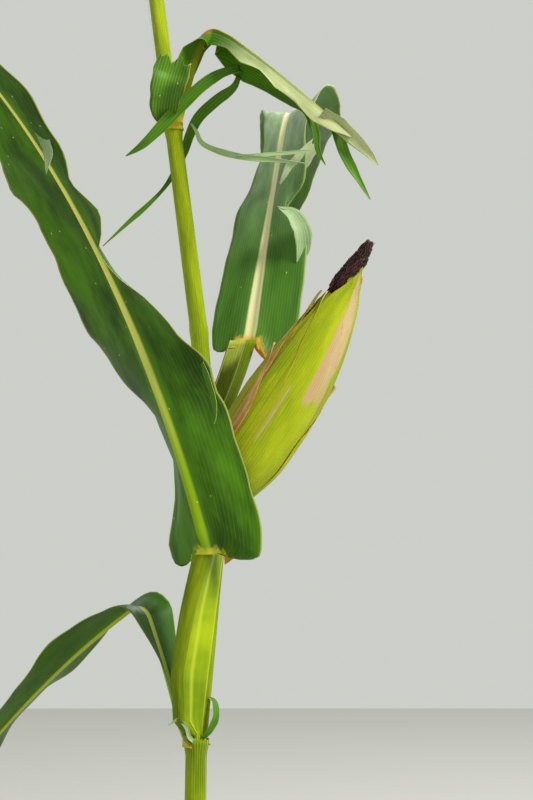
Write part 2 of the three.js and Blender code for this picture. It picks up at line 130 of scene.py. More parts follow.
def meshOf(name, bm):
    mesh = bpy.data.meshes.new(name)
    bm.to_mesh(mesh)
    bm.free()
    return mesh


def flatGrid(across, along, size=1):
    bm = bmesh.new()
    bmesh.ops.create_grid(bm, x_segments=across, y_segments=along, size=size)
    return bm


def everyPart(bm):
    return bm.verts[:] + bm.edges[:] + bm.faces[:]


def ofKind(parts, kind):
    return [part for part in parts if isinstance(part, kind)]


def mapsOf(across, along, first, second):
    # the grain in metres across and along, and two shares that place a spot on its piece
    return {"grain": np.stack([across, along], 1), "place": np.stack([first, second], 1)}


def giveMaps(mesh, maps):
    corner = np.empty(len(mesh.loops), np.int32)
    mesh.loops.foreach_get("vertex_index", corner)
    for mapName, values in maps.items():
        layer = mesh.uv_layers.new(name=mapName)
        layer.data.foreach_set("uv", np.asarray(values, np.float32)[corner].ravel())


def shape(mesh, rule):
    # moves a grid's points, from -1 to 1 across and 0 to 1 along, to where the rule puts them
    flat = np.empty(len(mesh.vertices) * 3)
    mesh.vertices.foreach_get("co", flat)
    x, y, z = flat.reshape(-1, 3).T
    places, maps = rule(x, (y + 1) / 2, z)
    mesh.vertices.foreach_set("co", places.ravel())
    giveMaps(mesh, maps)
    mesh.update()


def thinSheet(name, across, along, rule):
    # a sheet with two faces and a rim; rule(u, t, under) gives its places and its maps
    bm = flatGrid(across, along)
    copied = bmesh.ops.duplicate(bm, geom=everyPart(bm))["geom"]
    lowFaces = ofKind(copied, bmesh.types.BMFace)
    bmesh.ops.reverse_faces(bm, faces=lowFaces)
    bmesh.ops.translate(bm, verts=ofKind(copied, bmesh.types.BMVert), vec=(0, 0, -0.001))
    for face in lowFaces:
        face.material_index = 1
    bmesh.ops.bridge_loops(bm, edges=[edge for edge in bm.edges if edge.is_boundary])
    bmesh.ops.recalc_face_normals(bm, faces=bm.faces)
    mesh = meshOf(name, bm)
    shape(mesh, lambda x, t, z: rule(x, t, (z < -0.0005).astype(float)))
    return mesh


def roundBody(name, around, along, rule):
    # a closed round body; rule(angle, t) gives its places and its maps
    mesh = meshOf(name, flatGrid(around, along))
    shape(mesh, lambda x, t, z: rule(np.pi * (x + 1), t))
    bm = bmesh.new()
    bm.from_mesh(mesh)
    bmesh.ops.remove_doubles(bm, verts=bm.verts, dist=1e-6)
    bmesh.ops.holes_fill(bm, edges=[e for e in bm.edges if e.is_boundary])
    bm.to_mesh(mesh)
    bm.free()
    mesh.update()
    return mesh


def meshFrom(name, spots, faces, indexes):
    mesh = bpy.data.meshes.new(name)
    mesh.from_pydata(np.vstack(spots).tolist(), [], faces)
    mesh.polygons.foreach_set("material_index", indexes)
    mesh.update()
    return mesh


def roundStrands(name, routes, radii, sides, looks=None):
    # many thin round strands in one mesh, each with the number of its look
    spots, faces, indexes, maps = [], [], [], []
    base = 0
    angles = np.arange(sides) * 2 * np.pi / sides
    for route, radius, look in zip(routes, radii, looks or [0] * len(routes)):
        tangent, side, front = railFrames(route)
        radius = np.broadcast_to(radius, (len(route),))
        rings = (route[:, None] + radius[:, None, None]
                 * (np.cos(angles)[None, :, None] * side[:, None] + np.sin(angles)[None, :, None] * front[:, None]))
        spots.append(rings.reshape(-1, 3))
        maps.append(np.stack([np.tile(angles * radius.mean(), len(route)), np.repeat(runAlong(route), sides)], 1))
        for k in range(len(route) - 1):
            for j in range(sides):
                a, b = base + k * sides + j, base + k * sides + (j + 1) % sides
                faces.append((a, b, b + sides, a + sides))
        top = base + (len(route) - 1) * sides
        faces += [tuple(range(base + sides - 1, base - 1, -1)), tuple(range(top, top + sides))]
        indexes += [look] * ((len(route) - 1) * sides + 2)
        base += len(route) * sides
    mesh = meshFrom(name, spots, faces, indexes)
    giveMaps(mesh, {"grain": np.vstack(maps)})
    return mesh


# the plant's rule, as in its source
stalk = {"tip": 2.185, "footRadius": 0.0122, "tipRadius": 0.0027, "taperPower": 0.9,
         "flareHeight": 0.055, "flareRadius": 0.0045, "swelling": 0.0007, "jointHalf": 0.009,
         "jointAboveCollar": 0.007, "firstJoint": 0.064, "ribs": 26, "ribHeight": 0.00016,
         "columns": 104, "rows": 420}
sheath = {"gap": 0.0015, "clearance": 0.00035, "wall": 0.0016, "flare": 0.0022, "flareHeight": 0.016,
          "skin": 0.00045, "overlap": 17, "columns": 96, "rows": 44}
blade = {"steps": 160, "wrapAngle": 115, "wrapShare": 0.03, "sink": 0.0064, "widest": 0.3,
         "taperFrom": 0.38, "tipFold": 9, "skin": 0.0004, "columns": 30, "rows": 132,
         "bunchAcross": 1.45, "bunchAlong": 1.15}

# a row for each leaf from the foot up, and where it departs from the usual one
leafColumns = ("height", "stalkX", "stalkY", "heading", "length", "halfWidth", "rise", "droop", "droopPower",
               "swing", "waves")
leafRows = [
    ((0.182, -0.002, 0.001, 262, 0.47, 0.025, 46, 104, 1.1, 14, 4), {}),
    ((0.302, 0.002, -0.002, 84, 0.6, 0.032, 52, 118, 1.1, -16, 5), {}),
    ((0.432, -0.002, 0.002, 264, 0.7, 0.038, 50, 118, 1.05, 24, 5), {"ripple": 0.12}),
    ((0.572, 0.002, -0.002, 91, 0.79, 0.042, 52, 122, 1.05, -22, 5), {"ripple": 0.12}),
    ((0.727, -0.003, 0.002, 288, 0.82, 0.044, 40, 108, 1.0, 30, 5), {"ripple": 0.12}),
    ((0.892, -0.0005, 0, 141, 0.64, 0.03, 72, 38, 1.0, 8, 4),
     {"crease": 96, "creaseAt": 0.17, "creaseSpan": 0.05, "roll": 20}),
    ((1.057, 0.0153, 0, 251, 0.88, 0.045, 56, 105, 3.2, -57, 3),
     {"phase": 4.7, "shift": -0.15, "ripple": 0.27, "fold": 36, "foldMid": 6, "foldTop": 5, "roll": -16,
      "rollMid": -2, "rollEnd": -40, "base": 1, "seat": 284}),
    ((1.231, 0.0017, 0, 68, 0.7, 0.047, 71, 69, 1.0, 38, 3),
     {"phase": -2.2, "shift": 3.6, "fold": 14, "foldMid": 6, "rollMid": -42, "crease": 42, "creaseAt": 0.29,
      "creaseSpan": 0.16, "base": 0.6}),
    ((1.416, -0.022, 0, 324, 0.222, 0.038, 68, 14, 1.0, 16, 1),
     {"seat": 285, "fold": 30, "crease": 98, "creaseAt": 0.27, "creaseSpan": 0.09, "roll": 16, "base": 1,
      "torn": 0.5}),
    ((1.602, -0.046, -0.001, 142, 0.69, 0.039, 72, 128, 1.3, 18, 5), {}),
    ((1.77, -0.061, 0.001, 306, 0.6, 0.035, 74, 118, 1.4, -16, 4), {}),
    ((1.918, -0.071, -0.001, 128, 0.5, 0.03, 74, 104, 1.4, 14, 4), {}),
    ((2.04, -0.077, 0, 296, 0.38, 0.023, 72, 84, 1.5, -12, 3), {}),
]
usualLeaf = {"ripple": 0.17, "shift": 1.9, "fold": 26, "foldMid": 18, "foldTop": 12, "roll": 0, "rollMid": 0,
             "rollEnd": 0, "crease": 0, "creaseAt": 0, "creaseSpan": 1, "base": 0.55, "torn": 1}
leaves = [{**usualLeaf, "seat": row[3], "phase": row[0] * 1000, **dict(zip(leafColumns, row)), **own}
          for row, own in leafRows]
earLeaf, looseLeaf, tornLeaf = 6, 7, 8

axisPoints = np.array([[0, 0, 0]]
                      + [[leaf["stalkX"], leaf["stalkY"], leaf["height"] + stalk["jointAboveCollar"]]
                         for leaf in leaves]
                      + [[leaves[-1]["stalkX"] - 0.004, 0, stalk["tip"]]])
joints = [stalk["firstJoint"]] + [leaf["height"] + stalk["jointAboveCollar"] for leaf in leaves[:-1]]


def stalkCentre(z):
    z = np.asarray(z, float)
    return np.stack([np.interp(z, axisPoints[:, 2], axisPoints[:, 0]),
                     np.interp(z, axisPoints[:, 2], axisPoints[:, 1]), z], -1)


def stalkRadius(z):
    z = np.asarray(z, float)
    radius = mix(stalk["footRadius"], stalk["tipRadius"], np.maximum(0, z / stalk["tip"]) ** stalk["taperPower"])
    radius = radius + stalk["flareRadius"] * (1 - ramp(z, 0, stalk["flareHeight"]))
    for joint in joints:
        radius = radius + stalk["swelling"] * (1 - ramp(np.abs(z - joint), 0, stalk["jointHalf"]))
    return radius


def sheathOuter(z):
    return stalkRadius(z) + sheath["clearance"] + sheath["wall"]


# finishes; their colours are screen colours, 0 to 255
def linear(colour):
    return tuple((c / 255 / 12.92 if c <= 10 else ((c / 255 + 0.055) / 1.055) ** 2.4) for c in colour) + (1.0,)


board = {"tree": None}    # the node tree that the helpers below work in


def addNode(kind, inputs=None, **settings):
    made = board["tree"].nodes.new(kind)
    for key, value in settings.items():
        setattr(made, key, value)
    for key, value in (inputs or {}).items():
        if isinstance(value, bpy.types.NodeSocket):
            board["tree"].links.new(value, made.inputs[key])
        else:
            made.inputs[key].default_value = value
    return made


def blendColour(share, first, second):
    first, second = (c if isinstance(c, bpy.types.NodeSocket) else linear(c) for c in (first, second))
    return addNode("ShaderNodeMix", {0: share, 6: first, 7: second}, data_type="RGBA").outputs[2]


def layered(body, layers):
    for share, colour in layers:
        body = blendColour(share, body, colour)
    return body


def sums(operation, first, second=0.0, third=0.0):
    return addNode("ShaderNodeMath", {0: first, 1: second, 2: third}, operation=operation).outputs[0]


def times(first, second):
    return sums("MULTIPLY", first, second)


def between(value, low, high, toLow=0.0, toHigh=1.0):
    made = addNode("ShaderNodeMapRange", {0: value, 1: low, 2: high, 3: toLow, 4: toHigh},
                   interpolation_type="SMOOTHSTEP")
    return made.outputs[0]


def fading(value, low, high):
    return between(value, low, high, 1.0, 0.0)


def noise(vector, scale, detail=3.0, roughness=0.5):
    made = addNode("ShaderNodeTexNoise",
                   {"Vector": vector, "Scale": scale, "Detail": detail, "Roughness": roughness})
    return made.outputs["Fac"]


def readMap(name):
    return addNode("ShaderNodeUVMap", uv_map=name).outputs[0]


def split(vector):
    return addNode("ShaderNodeSeparateXYZ", {0: vector}).outputs


def stretched(vector, across, along):
    return addNode("ShaderNodeMapping", {"Vector": vector, "Scale": (across, along, 1)}).outputs[0]


def newGroup(name, given, makeValues):
    # a group of plain numbers: what it is given, and the values made from that
    group = bpy.data.node_groups.new(name, "ShaderNodeTree")
    for key, value in given.items():
        socket = group.interface.new_socket(name=key, in_out="INPUT", socket_type="NodeSocketFloat")
        socket.default_value = value
    board["tree"] = group
    values = makeValues(addNode("NodeGroupInput").outputs)
    for key in values:
        group.interface.new_socket(name=key, in_out="OUTPUT", socket_type="NodeSocketFloat")
    addNode("NodeGroupOutput", values)
    return group


def veinValues(given):
    # parallel veins along the grain map, which runs in metres across and along
    grain = readMap("grain")
    wander = sums("SUBTRACT", noise(stretched(grain, 26, 5), 1.0, 2.0), 0.5)
    across = sums("MULTIPLY_ADD", wander, given["Wander"], split(grain)[0])

    def lines(half, low, high):
        return fading(sums("DIVIDE", sums("PINGPONG", across, half), half), low, high)
    half = times(given["Spacing"], 0.5)
    veins = lines(half, 0.0, 0.42)
    fine = lines(sums("DIVIDE", half, given["Fine Lines"]), 0.05, 0.95)
    cell = addNode("ShaderNodeTexVoronoi", {"Vector": stretched(grain, 170, 105), "Scale": 1.0}).outputs
    rare = between(split(cell["Color"])[0], 0.62, 0.7)
    return {"Veins": veins, "Fine Veins": fine,
            "Relief": sums("MULTIPLY_ADD", veins, 0.7, times(fine, 0.3)),
            "Patches": noise(stretched(grain, 34, 9), 1.0, 4.0, 0.6),
            "Specks": times(fading(cell["Distance"], 0.05, 0.11), rare)}


def ribValues(given):
    # the midrib, the thin pale margin, the collar and its brown corners, from the maps of places on the blade
    place, grain = split(readMap("place")), readMap("grain")
    wobble = sums("MULTIPLY_ADD", noise(grain, 190.0), 1.3, -0.65)
    depth = sums("ADD", sums("DIVIDE", split(grain)[1], given["Collar Length"]), wobble)
    corner = sums("ADD", place[1], times(wobble, 0.25))
    browned = between(sums("SUBTRACT", corner, given["Brown From"]), 0, 0.1)
    return {"Rib": fading(place[0], 0.75, 1.25), "Beside Rib": fading(place[0], 1.0, 3.2),
            "Margin": between(place[1], 0.975, 0.992), "Collar": fading(depth, 0.7, 1.25),
            "Brown": times(browned, fading(depth, 1.0, 1.5))}


veinGroup = newGroup("parallelVeins", {"Spacing": 0.0032, "Wander": 0.0012, "Fine Lines": 6.0}, veinValues)
ribGroup = newGroup("ribAndMargin", {"Collar Length": 0.007, "Brown From": 0.8}, ribValues)


def placed(group, values):
    return addNode("ShaderNodeGroup", values, node_tree=group).outputs


def newMaterial(name, roughness, specular=0.5):
    material = bpy.data.materials.new(name)
    material.use_nodes = True
    shader = material.node_tree.nodes["Principled BSDF"]
    shader.inputs["Roughness"].default_value = roughness
    shader.inputs["Specular IOR Level"].default_value = specular
    board["tree"] = material.node_tree
    return shader


def finishWith(shader, colour, height, strength, distance):
    board["tree"].links.new(colour, shader.inputs["Base Color"])
    relief = addNode("ShaderNodeBump", {"Height": height, "Strength": strength, "Distance": distance})
    board["tree"].links.new(relief.outputs[0], shader.inputs["Normal"])


def bladeMaterial(name, look):
    # green tissue with parallel veins, a midrib, a pale margin and the collar's band at its foot
    shader = newMaterial(name, look["roughness"], look["specular"])
    veins = placed(veinGroup, {"Spacing": look["spacing"], "Wander": 0.0014, "Fine Lines": 5.0})
    parts = placed(ribGroup, {"Collar Length": look["collarLength"], "Brown From": look["brownFrom"]})
    across, along = split(readMap("grain"))[:2]
    patches = veins["Patches"]
    layers = [(times(veins["Veins"], look["veinShare"]), look["vein"]),
              (times(veins["Fine Veins"], look["fineShare"]), look["vein"])]
    # a pale grey-green band along part of the blade: the waxy bloom, brightened as painted sheen where the blade
    # bends away
    if "bloom" in look:
        low, high, most = look["bloom"]
        waxAndSheen = times(between(along, low, high), between(patches, 0.3, 0.62, 0.35, 1.0))
        layers.append((times(waxAndSheen, most), look["bloomTint"]))
    ribTone = blendColour(between(along, *look["ribFade"]), look["ribFoot"], look["rib"])
    layers += [(times(parts["Beside Rib"], look["besideShare"]), look["vein"]), (parts["Rib"], ribTone)]
    if "crease" in look:
        off = sums("ABSOLUTE", sums("SUBTRACT", along, look["crease"]))
        worn = fading(sums("MULTIPLY_ADD", patches, 0.006, off), 0.004, 0.009)
        near = fading(sums("ABSOLUTE", across), 0.002, 0.009)
        layers.append((times(worn, near), look["creaseTint"]))
    layers += [(times(parts["Margin"], look["marginShare"]), look["margin"]),
               (times(veins["Specks"], look["specks"]), look["speck"]),
               (parts["Collar"], look["collar"]), (parts["Brown"], look["collarDark"])]
    body = blendColour(between(patches, 0.32, 0.68), look["dark"], look["mid"])
    height = times(veins["Relief"], sums("SUBTRACT", 1.0, parts["Rib"]))
    finishWith(shader, layered(body, layers), height, look["bump"], 0.0007)


def skinMaterial(name, look):
    # sheath, stalk and husk tissue: ribs along the grain map, a wandering tone and dry streaks
    shader = newMaterial(name, look["roughness"], look["specular"])
    veins = placed(veinGroup, {"Spacing": look["spacing"], "Wander": 0.001, "Fine Lines": 3.0})
    patches, place = veins["Patches"], split(readMap("place"))
    layers = [(times(veins["Veins"], look["veinShare"]), look["vein"])]
    if "dry" in look:
        streaks = noise(stretched(readMap("grain"), 240, 13), 1.0, 4.0, 0.62)
        amount = sums("ADD", place[0], sums("MULTIPLY_ADD", streaks, 1.3, -0.65))
        pale = blendColour(between(patches, 0.36, 0.6), look["dry"], look["dryPink"])
        pale = blendColour(times(veins["Veins"], 0.5), pale, look["dryVein"])
        layers.append((between(amount, 0.3, 0.78), pale))
    layers += [(times(between(place[1], 0.955, 0.985), look["rimShare"]), look["rim"]),
               (times(veins["Specks"], look["specks"]), look["speck"])]
    body = blendColour(between(patches, 0.34, 0.66), look["dark"], look["light"])
    finishWith(shader, layered(body, layers), veins["Relief"], look["bump"], look["relief"])


def plainTissue(name, colour, other, roughness, scale):
    # a small thing's finish: two tones and a fine grain
    shader = newMaterial(name, roughness)
    spot = addNode("ShaderNodeTexCoord").outputs["Object"]
    body = blendColour(between(noise(spot, scale), 0.35, 0.65), colour, other)
    finishWith(shader, body, noise(spot, scale * 6), 0.4, 0.0004)


def toned(look, dark, mid, vein, margin, **own):
    return dict(look, dark=dark, mid=mid, vein=vein, margin=margin, **own)


leafFace = {"dark": (25, 56, 3), "mid": (48, 94, 8), "vein": (88, 136, 40), "rib": (206, 210, 130),
            "ribFoot": (150, 174, 50), "ribFade": (0.02, 0.16), "margin": (150, 166, 74),
            "collar": (172, 180, 50), "collarDark": (136, 92, 26), "speck": (210, 208, 150),
            "spacing": 0.0024, "veinShare": 0.24, "fineShare": 0.16, "besideShare": 0.2, "marginShare": 0.7,
            "specks": 0.3, "roughness": 0.38, "specular": 0.13, "bump": 0.22, "collarLength": 0.0105,
            "brownFrom": 0.86}
leafUnder = toned(leafFace, (34, 66, 3), (62, 108, 10), (104, 148, 44), (150, 166, 74), rib=(172, 186, 54),
                  ribFoot=(140, 166, 24), roughness=0.42, veinShare=0.28)
looseCollar = {"collar": (206, 166, 50), "collarDark": (140, 74, 18)}
tornLook = {"collar": (196, 176, 40), "collarDark": (132, 72, 16), "collarLength": 0.0125, "brownFrom": 0.62,
            "roughness": 0.55, "specular": 0.05, "creaseTint": (196, 104, 34)}
bladeLooks = {
    "leafFace": leafFace,
    "leafUnder": leafUnder,
    "earLeafFace": dict(leafFace, specks=0.6, collarLength=0.0145, brownFrom=0.72),
    "earLeafUnder": toned(leafUnder, (20, 48, 2), (74, 124, 10), (98, 146, 36), (166, 172, 84), veinShare=0.15,
        rib=(226, 222, 112), ribFoot=(128, 160, 8), ribFade=(0.06, 0.3), collar=(186, 190, 44),
        collarDark=(158, 84, 18), specks=0.8, besideShare=0.3, collarLength=0.011, brownFrom=0.99),
    # the loose leaf's face: its pale top, where it arches over, is painted sheen over the waxy bloom
    "looseLeafFace": toned(leafFace, (40, 78, 12), (66, 112, 26), (108, 152, 72), (150, 166, 74), rib=(214, 208, 158),
        specks=0.8, bloom=(0.07, 0.28, 0.9), bloomTint=(168, 190, 154), collarLength=0.0125, brownFrom=0.99,
        ribFoot=(206, 204, 140), ribFade=(0.012, 0.04), **looseCollar),
    "looseLeafUnder": dict(leafUnder, collarLength=0.0115, brownFrom=0.7, **looseCollar),
    # the torn leaf's face: the pale band just past its crease is painted sheen over the waxy bloom
    "tornLeafFace": toned({**leafFace, **tornLook}, (32, 74, 4), (60, 112, 14), (122, 164, 70), (150, 156, 70),
        rib=(122, 132, 26), ribFoot=(118, 126, 20), specks=0.5, bloom=(0.078, 0.12, 0.9), bloomTint=(196, 200, 148),
        crease=0.068),
    "tornLeafUnder": toned({**leafUnder, **tornLook}, (36, 82, 3), (66, 118, 10), (112, 156, 50), (150, 156, 70),
        rib=(118, 132, 22), ribFoot=(112, 122, 16), specks=0.6, crease=0.066),
    "tornStrip": toned(leafUnder, (40, 86, 4), (72, 122, 14), (124, 164, 60), (170, 184, 84), marginShare=0.9),
    "tornLobe": toned(leafUnder, (34, 82, 3), (68, 122, 10), (160, 186, 90), (196, 168, 104), veinShare=0.26,
        bump=0.2, marginShare=0.9, specks=1.0),
    "glaucousFlap": toned(leafUnder, (96, 130, 76), (146, 170, 124), (182, 196, 160), (190, 186, 140)),
    "paleStrip": toned(leafUnder, (116, 156, 84), (160, 186, 128), (196, 210, 170), (204, 212, 160)),
    "collarCorner": toned(leafUnder, (176, 104, 14), (206, 138, 26), (214, 164, 60), (110, 64, 16), specks=0.0),
    "dryTissue": toned(leafUnder, (120, 142, 96), (164, 176, 138), (196, 202, 172), (196, 184, 140)),
}
sheathLook = {"dark": (98, 126, 4), "light": (154, 174, 10), "vein": (190, 200, 56), "rim": (206, 200, 120),
              "speck": (64, 88, 6), "spacing": 0.0026, "veinShare": 0.5, "rimShare": 0.5, "specks": 0.4,
              "roughness": 0.42, "specular": 0.14, "bump": 0.8, "relief": 0.0009}
huskLook = {"dark": (130, 150, 3), "light": (168, 180, 12), "vein": (198, 194, 66), "rim": (188, 134, 60),
            "dry": (188, 168, 118), "dryPink": (180, 146, 106), "dryVein": (204, 190, 146),
            "speck": (206, 190, 120), "spacing": 0.0024, "veinShare": 0.35, "rimShare": 0.75, "specks": 0.2,
            "roughness": 0.45, "specular": 0.14, "bump": 0.4, "relief": 0.0008}
skinLooks = {
    "sheathSkin": sheathLook,
    "sheathHigh": dict(sheathLook, dark=(124, 150, 2), light=(182, 202, 10)),
    "sheathInner": dict(sheathLook, dark=(150, 170, 60), light=(186, 196, 90)),
    "stalkSkin": dict(sheathLook, dark=(148, 174, 2), light=(202, 218, 10), veinShare=0.4),
    "huskSkin": huskLook,
    "huskOld": dict(huskLook, dry=(222, 184, 104), dryPink=(186, 116, 60), rim=(160, 96, 40)),
    "huskInner": dict(huskLook, dark=(186, 194, 84), light=(204, 206, 116)),
}
# two tones, roughness and the grain's scale
plainLooks = {
    "braceRootBark": ((120, 96, 54), (92, 110, 48), 0.7, 160),
    "drySilk": ((38, 12, 7), (20, 6, 4), 0.6, 200),
    "redSilk": ((76, 24, 12), (50, 16, 9), 0.5, 200),
    "tanSilk": ((112, 60, 26), (78, 36, 16), 0.6, 200),
    "strawSpikelet": ((186, 164, 82), (156, 140, 56), 0.65, 260),
    "greenSpikelet": ((156, 166, 58), (124, 144, 36), 0.6, 260),
    "dryAnther": ((196, 150, 64), (170, 118, 50), 0.7, 260),
    "tasselStem": ((152, 170, 50), (120, 146, 30), 0.55, 160),
    "stemHair": ((216, 224, 160), (196, 210, 120), 0.5, 260),
}
for name, look in bladeLooks.items():
    bladeMaterial(name, look)
for name, look in skinLooks.items():
    skinMaterial(name, look)
for name, look in plainLooks.items():
    plainTissue(name, *look)
print("finishes made:", len(bpy.data.materials))


# the stalk and its brace roots
def stalkRule(angle, t):
    z = t * stalk["tip"]
    grooved = 1 - ramp(z, 0, 0.02)
    relief = stalk["ribHeight"] * np.cos(stalk["ribs"] * angle + 0.4 * np.sin(z * 31)) * (1 - 0.5 * grooved)
    ring = sum(bump(z, joint - 0.003, 0.0014) for joint in joints) * 0.0004
    places = stalkCentre(z) + heading(np.degrees(angle), stalkRadius(z) + relief + ring)
    return places, mapsOf(angle * 0.011, z, 0 * z, 0 * z)


finished(roundBody("stalkSkin", stalk["columns"], stalk["rows"], stalkRule), ["stalkSkin"], "stalk")

hairs = {"count": 900, "from": 1.425, "to": 1.58, "length": 0.0026, "radius": 0.00006}


def stemHairs():
    # fine hairs on the sheath above the torn leaf
    routes = []
    for k in range(hairs["count"]):
        z = mix(hairs["from"], hairs["to"], scatter(k + 0.2))
        out = heading(360 * scatter(k + 0.6), 1.0)
        foot = stalkCentre(z) + out * (sheathOuter(z) - 0.0012)
        reach = hairs["length"] * (0.5 + 0.9 * scatter(k + 5))
        routes.append(np.array([foot + out * (0.0008 + reach * s) + [0, 0, reach * 0.5 * s * s]
                                for s in (0, 0.5, 1)]))
    return roundStrands("stemHairs", routes, [hairs["radius"] * np.array([1, 0.8, 0.4])] * len(routes), 3)


roots = {"count": 9, "radius": 0.0034, "top": 0.046, "spread": 0.034, "rings": 16, "sides": 12}


def braceRoots():
    routes, radii = [], []
    foot, top, share = stalk["footRadius"], roots["top"], np.linspace(0, 1, roots["rings"])
    for k in range(roots["count"]):
        turn = 360 / roots["count"] * (k + 0.35 * scatter(k + 3))
        spread = roots["spread"] * (0.85 + 0.3 * scatter(k + 11))
        stops = ((foot - 0.005, top + 0.004), (foot + 0.005, top - 0.008), (mix(foot, spread, 0.7), top * 0.4),
                 (spread, 0.0))
        routes.append(curveThrough([heading(turn, *stop) for stop in stops], roots["rings"]))
        knobs = 0.0002 * np.sin(share * 37 + k) + 0.00015 * np.sin(share * 83 + 2 * k)
        radii.append(roots["radius"] * (1 - 0.25 * share) + knobs)
    mesh = roundStrands("braceRoots", routes, radii, roots["sides"])
    bm = bmesh.new()
    bm.from_mesh(mesh)
    # the roots end flat at the ground
    cut = bmesh.ops.bisect_plane(bm, geom=everyPart(bm), plane_co=(0, 0, 0.0004), plane_no=(0, 0, -1),
                                 clear_outer=True)
    bmesh.ops.holes_fill(bm, edges=ofKind(cut["geom_cut"], bmesh.types.BMEdge))
    bm.to_mesh(mesh)
    bm.free()
    return mesh


finished(stemHairs(), ["stemHair"], "leaf_10")
finished(braceRoots(), ["braceRootBark"], "stalk")
print("stalk made")


# the sheaths
def sheathFoot(number):
    low = 0.042 if number == tornLeaf else 0.0    # the torn leaf's sheath starts lower, behind the ear's leaf
    return leaves[number - 1]["height"] + sheath["gap"] - low if number else stalk["firstJoint"]


def tightRadius(z, u):
    return stalkRadius(z) + sheath["clearance"] + 0.0006 + 0.00075 * ramp(u, 0.72, 0.94)


def sheathMaps(phi, run, radius, u):
    return mapsOf(np.radians(phi) * radius, run, 0 * u, np.abs(u))


def tightRule(number):
    leaf = leaves[number]
    foot, collar = sheathFoot(number), leaf["height"]

    def rule(u, t, under):
        z = mix(foot, collar, t)
        phi = u * (180 + sheath["overlap"] * (1 - 0.5 * t))
        radius = tightRadius(z, u) + sheath["flare"] * ramp(z, collar - sheath["flareHeight"], collar)
        radius = radius + 0.0007 * (1 - ramp(z - foot, 0.003, 0.016))
        radius = radius + 0.0001 * np.cos(np.radians(phi) * 24) * (1 - under) - sheath["skin"] * under
        return stalkCentre(z) + heading(leaf["seat"] + phi, radius), sheathMaps(phi, z - foot, 0.012, u)
    return rule


# the ear leaf's sheath runs round the shank too: height, reach from the stalk and heading
pocket = np.array([[0.8935, 0.0005, 206], [0.908, 0.014, 206], [0.95, 0.021, 210],
                   [1.0, 0.022, 226], [1.057, 0.024, 252]])
shank = {"radius": 0.0065, "steps": 60, "columns": 48}


def pocketAt(z):
    return np.interp(z, pocket[:, 0], pocket[:, 1]), np.interp(z, pocket[:, 0], pocket[:, 2])


def pocketRule(u, t, under):
    # round the stalk on one side and round the ear's shank on the other
    z = mix(pocket[0, 0], leaves[earLeaf]["height"], t)
    reach, turn = pocketAt(z)
    phi = u * (180 + sheath["overlap"] * 0.4)
    onShank = np.cos(np.radians(phi))
    radius = np.where(onShank > 0, shank["radius"], stalkRadius(z)) + sheath["clearance"] + 0.0011
    radius = radius + 0.0008 * ramp(u, 0.8, 0.96) + 0.0012 * ramp(t, 0.9, 1)
    radius = radius + 0.00024 * np.cos(np.radians(phi) * 34) * (1 - under) - sheath["skin"] * under
    places = stalkCentre(z) + heading(turn, ramp(onShank, -0.12, 0.12) * reach) + heading(turn + phi, radius)
    return places, sheathMaps(phi, z - pocket[0, 0], 0.017, u)


loose = {"from": 1.135, "collar": np.array([0.039, 0.006, 1.231]), "radius": 0.012, "steps": 200}


def looseRule(u, t, under):
    # tight at its foot, then off the stalk, open on the side away from its blade
    low, foot = loose["from"], sheathFoot(looseLeaf)
    path = curveThrough([stalkCentre(foot), stalkCentre(0.5 * (foot + low)), stalkCentre(low),
                         stalkCentre(low + 0.035) + [0.011, 0.003, 0],
                         loose["collar"] + [-0.009, -0.001, -0.028], loose["collar"]], loose["steps"])
    centre = sampled(path, t, np.linspace(0, 1, loose["steps"]))
    z = centre[:, 2]
    off = ramp(z, low - 0.012, low + 0.05)
    phi = u * mix(180 + sheath["overlap"], 148, off)
    radius = mix(tightRadius(z, u), loose["radius"] - 0.0004, off) + 0.0007 * (1 - ramp(t, 0.02, 0.1))
    radius = radius + 0.0015 * off * ramp(np.abs(u), 0.75, 1) + 0.00012 * np.cos(np.radians(phi) * 24) * (1 - under)
    radius = radius - sheath["skin"] * under
    return centre + heading(leaves[looseLeaf]["seat"] + phi, radius), sheathMaps(phi, t * 0.175, 0.012, u)


for number in range(len(leaves)):
    rule = {earLeaf: pocketRule, looseLeaf: looseRule}.get(number) or tightRule(number)
    mesh = thinSheet(f"sheath{number + 1:02d}", sheath["columns"], sheath["rows"], rule)
    outer = "sheathHigh" if number >= tornLeaf else "sheathSkin"
    finished(mesh, [outer, "sheathInner"], f"leaf_{number + 1:02d}")
print("sheaths made")


# the blades
def wrapOf(number):
    height = leaves[number]["height"]
    centre = stalkCentre(height)
    if number == earLeaf:
        reach, turn = pocketAt(height)
        return centre + heading(turn, reach), shank["radius"] + sheath["wall"] + 0.0015
    if number == looseLeaf:
        return loose["collar"], loose["radius"]
    return centre, float(sheathOuter(height)) + sheath["flare"] - 0.0004


def bladePath(number):
    leaf = leaves[number]
    centre, radius = wrapOf(number)
    t = np.linspace(0, 1, blade["steps"] + 1)
    bent = leaf["crease"] * ramp(t, leaf["creaseAt"], leaf["creaseAt"] + leaf["creaseSpan"])
    slope = np.radians(leaf["rise"] - leaf["droop"] * t ** leaf["droopPower"] - bent)
    turn = leaf["heading"] + leaf["swing"] * t
    roll = mix(leaf["roll"], leaf["rollMid"], ramp(t, 0, 0.22))
    roll = np.radians(mix(roll, leaf["rollEnd"], ramp(t, 0.22, 0.5)))[:, None]
    along = heading(turn, np.cos(slope), np.sin(slope))
    level = heading(turn + 90, 1.0)
    side = level * np.cos(roll) + np.cross(along, level) * np.sin(roll)
    start = centre + heading(leaf["seat"], radius, -blade["sink"])
    steps = along * leaf["length"] / blade["steps"]
    place = start + np.vstack([np.zeros(3), np.cumsum(steps, axis=0)[:-1]])
    return {"place": place, "side": side, "up": np.cross(along, side), "along": along}


def halfWidthAt(leaf, t):
    share = t * leaf["torn"]
    opened = mix(leaf["base"], 1, ramp(share, 0, blade["widest"]))
    past = np.maximum(0, (share - blade["taperFrom"]) / (1 - blade["taperFrom"]))
    return leaf["halfWidth"] * opened * (1 - past ** 1.7) + 0.0008


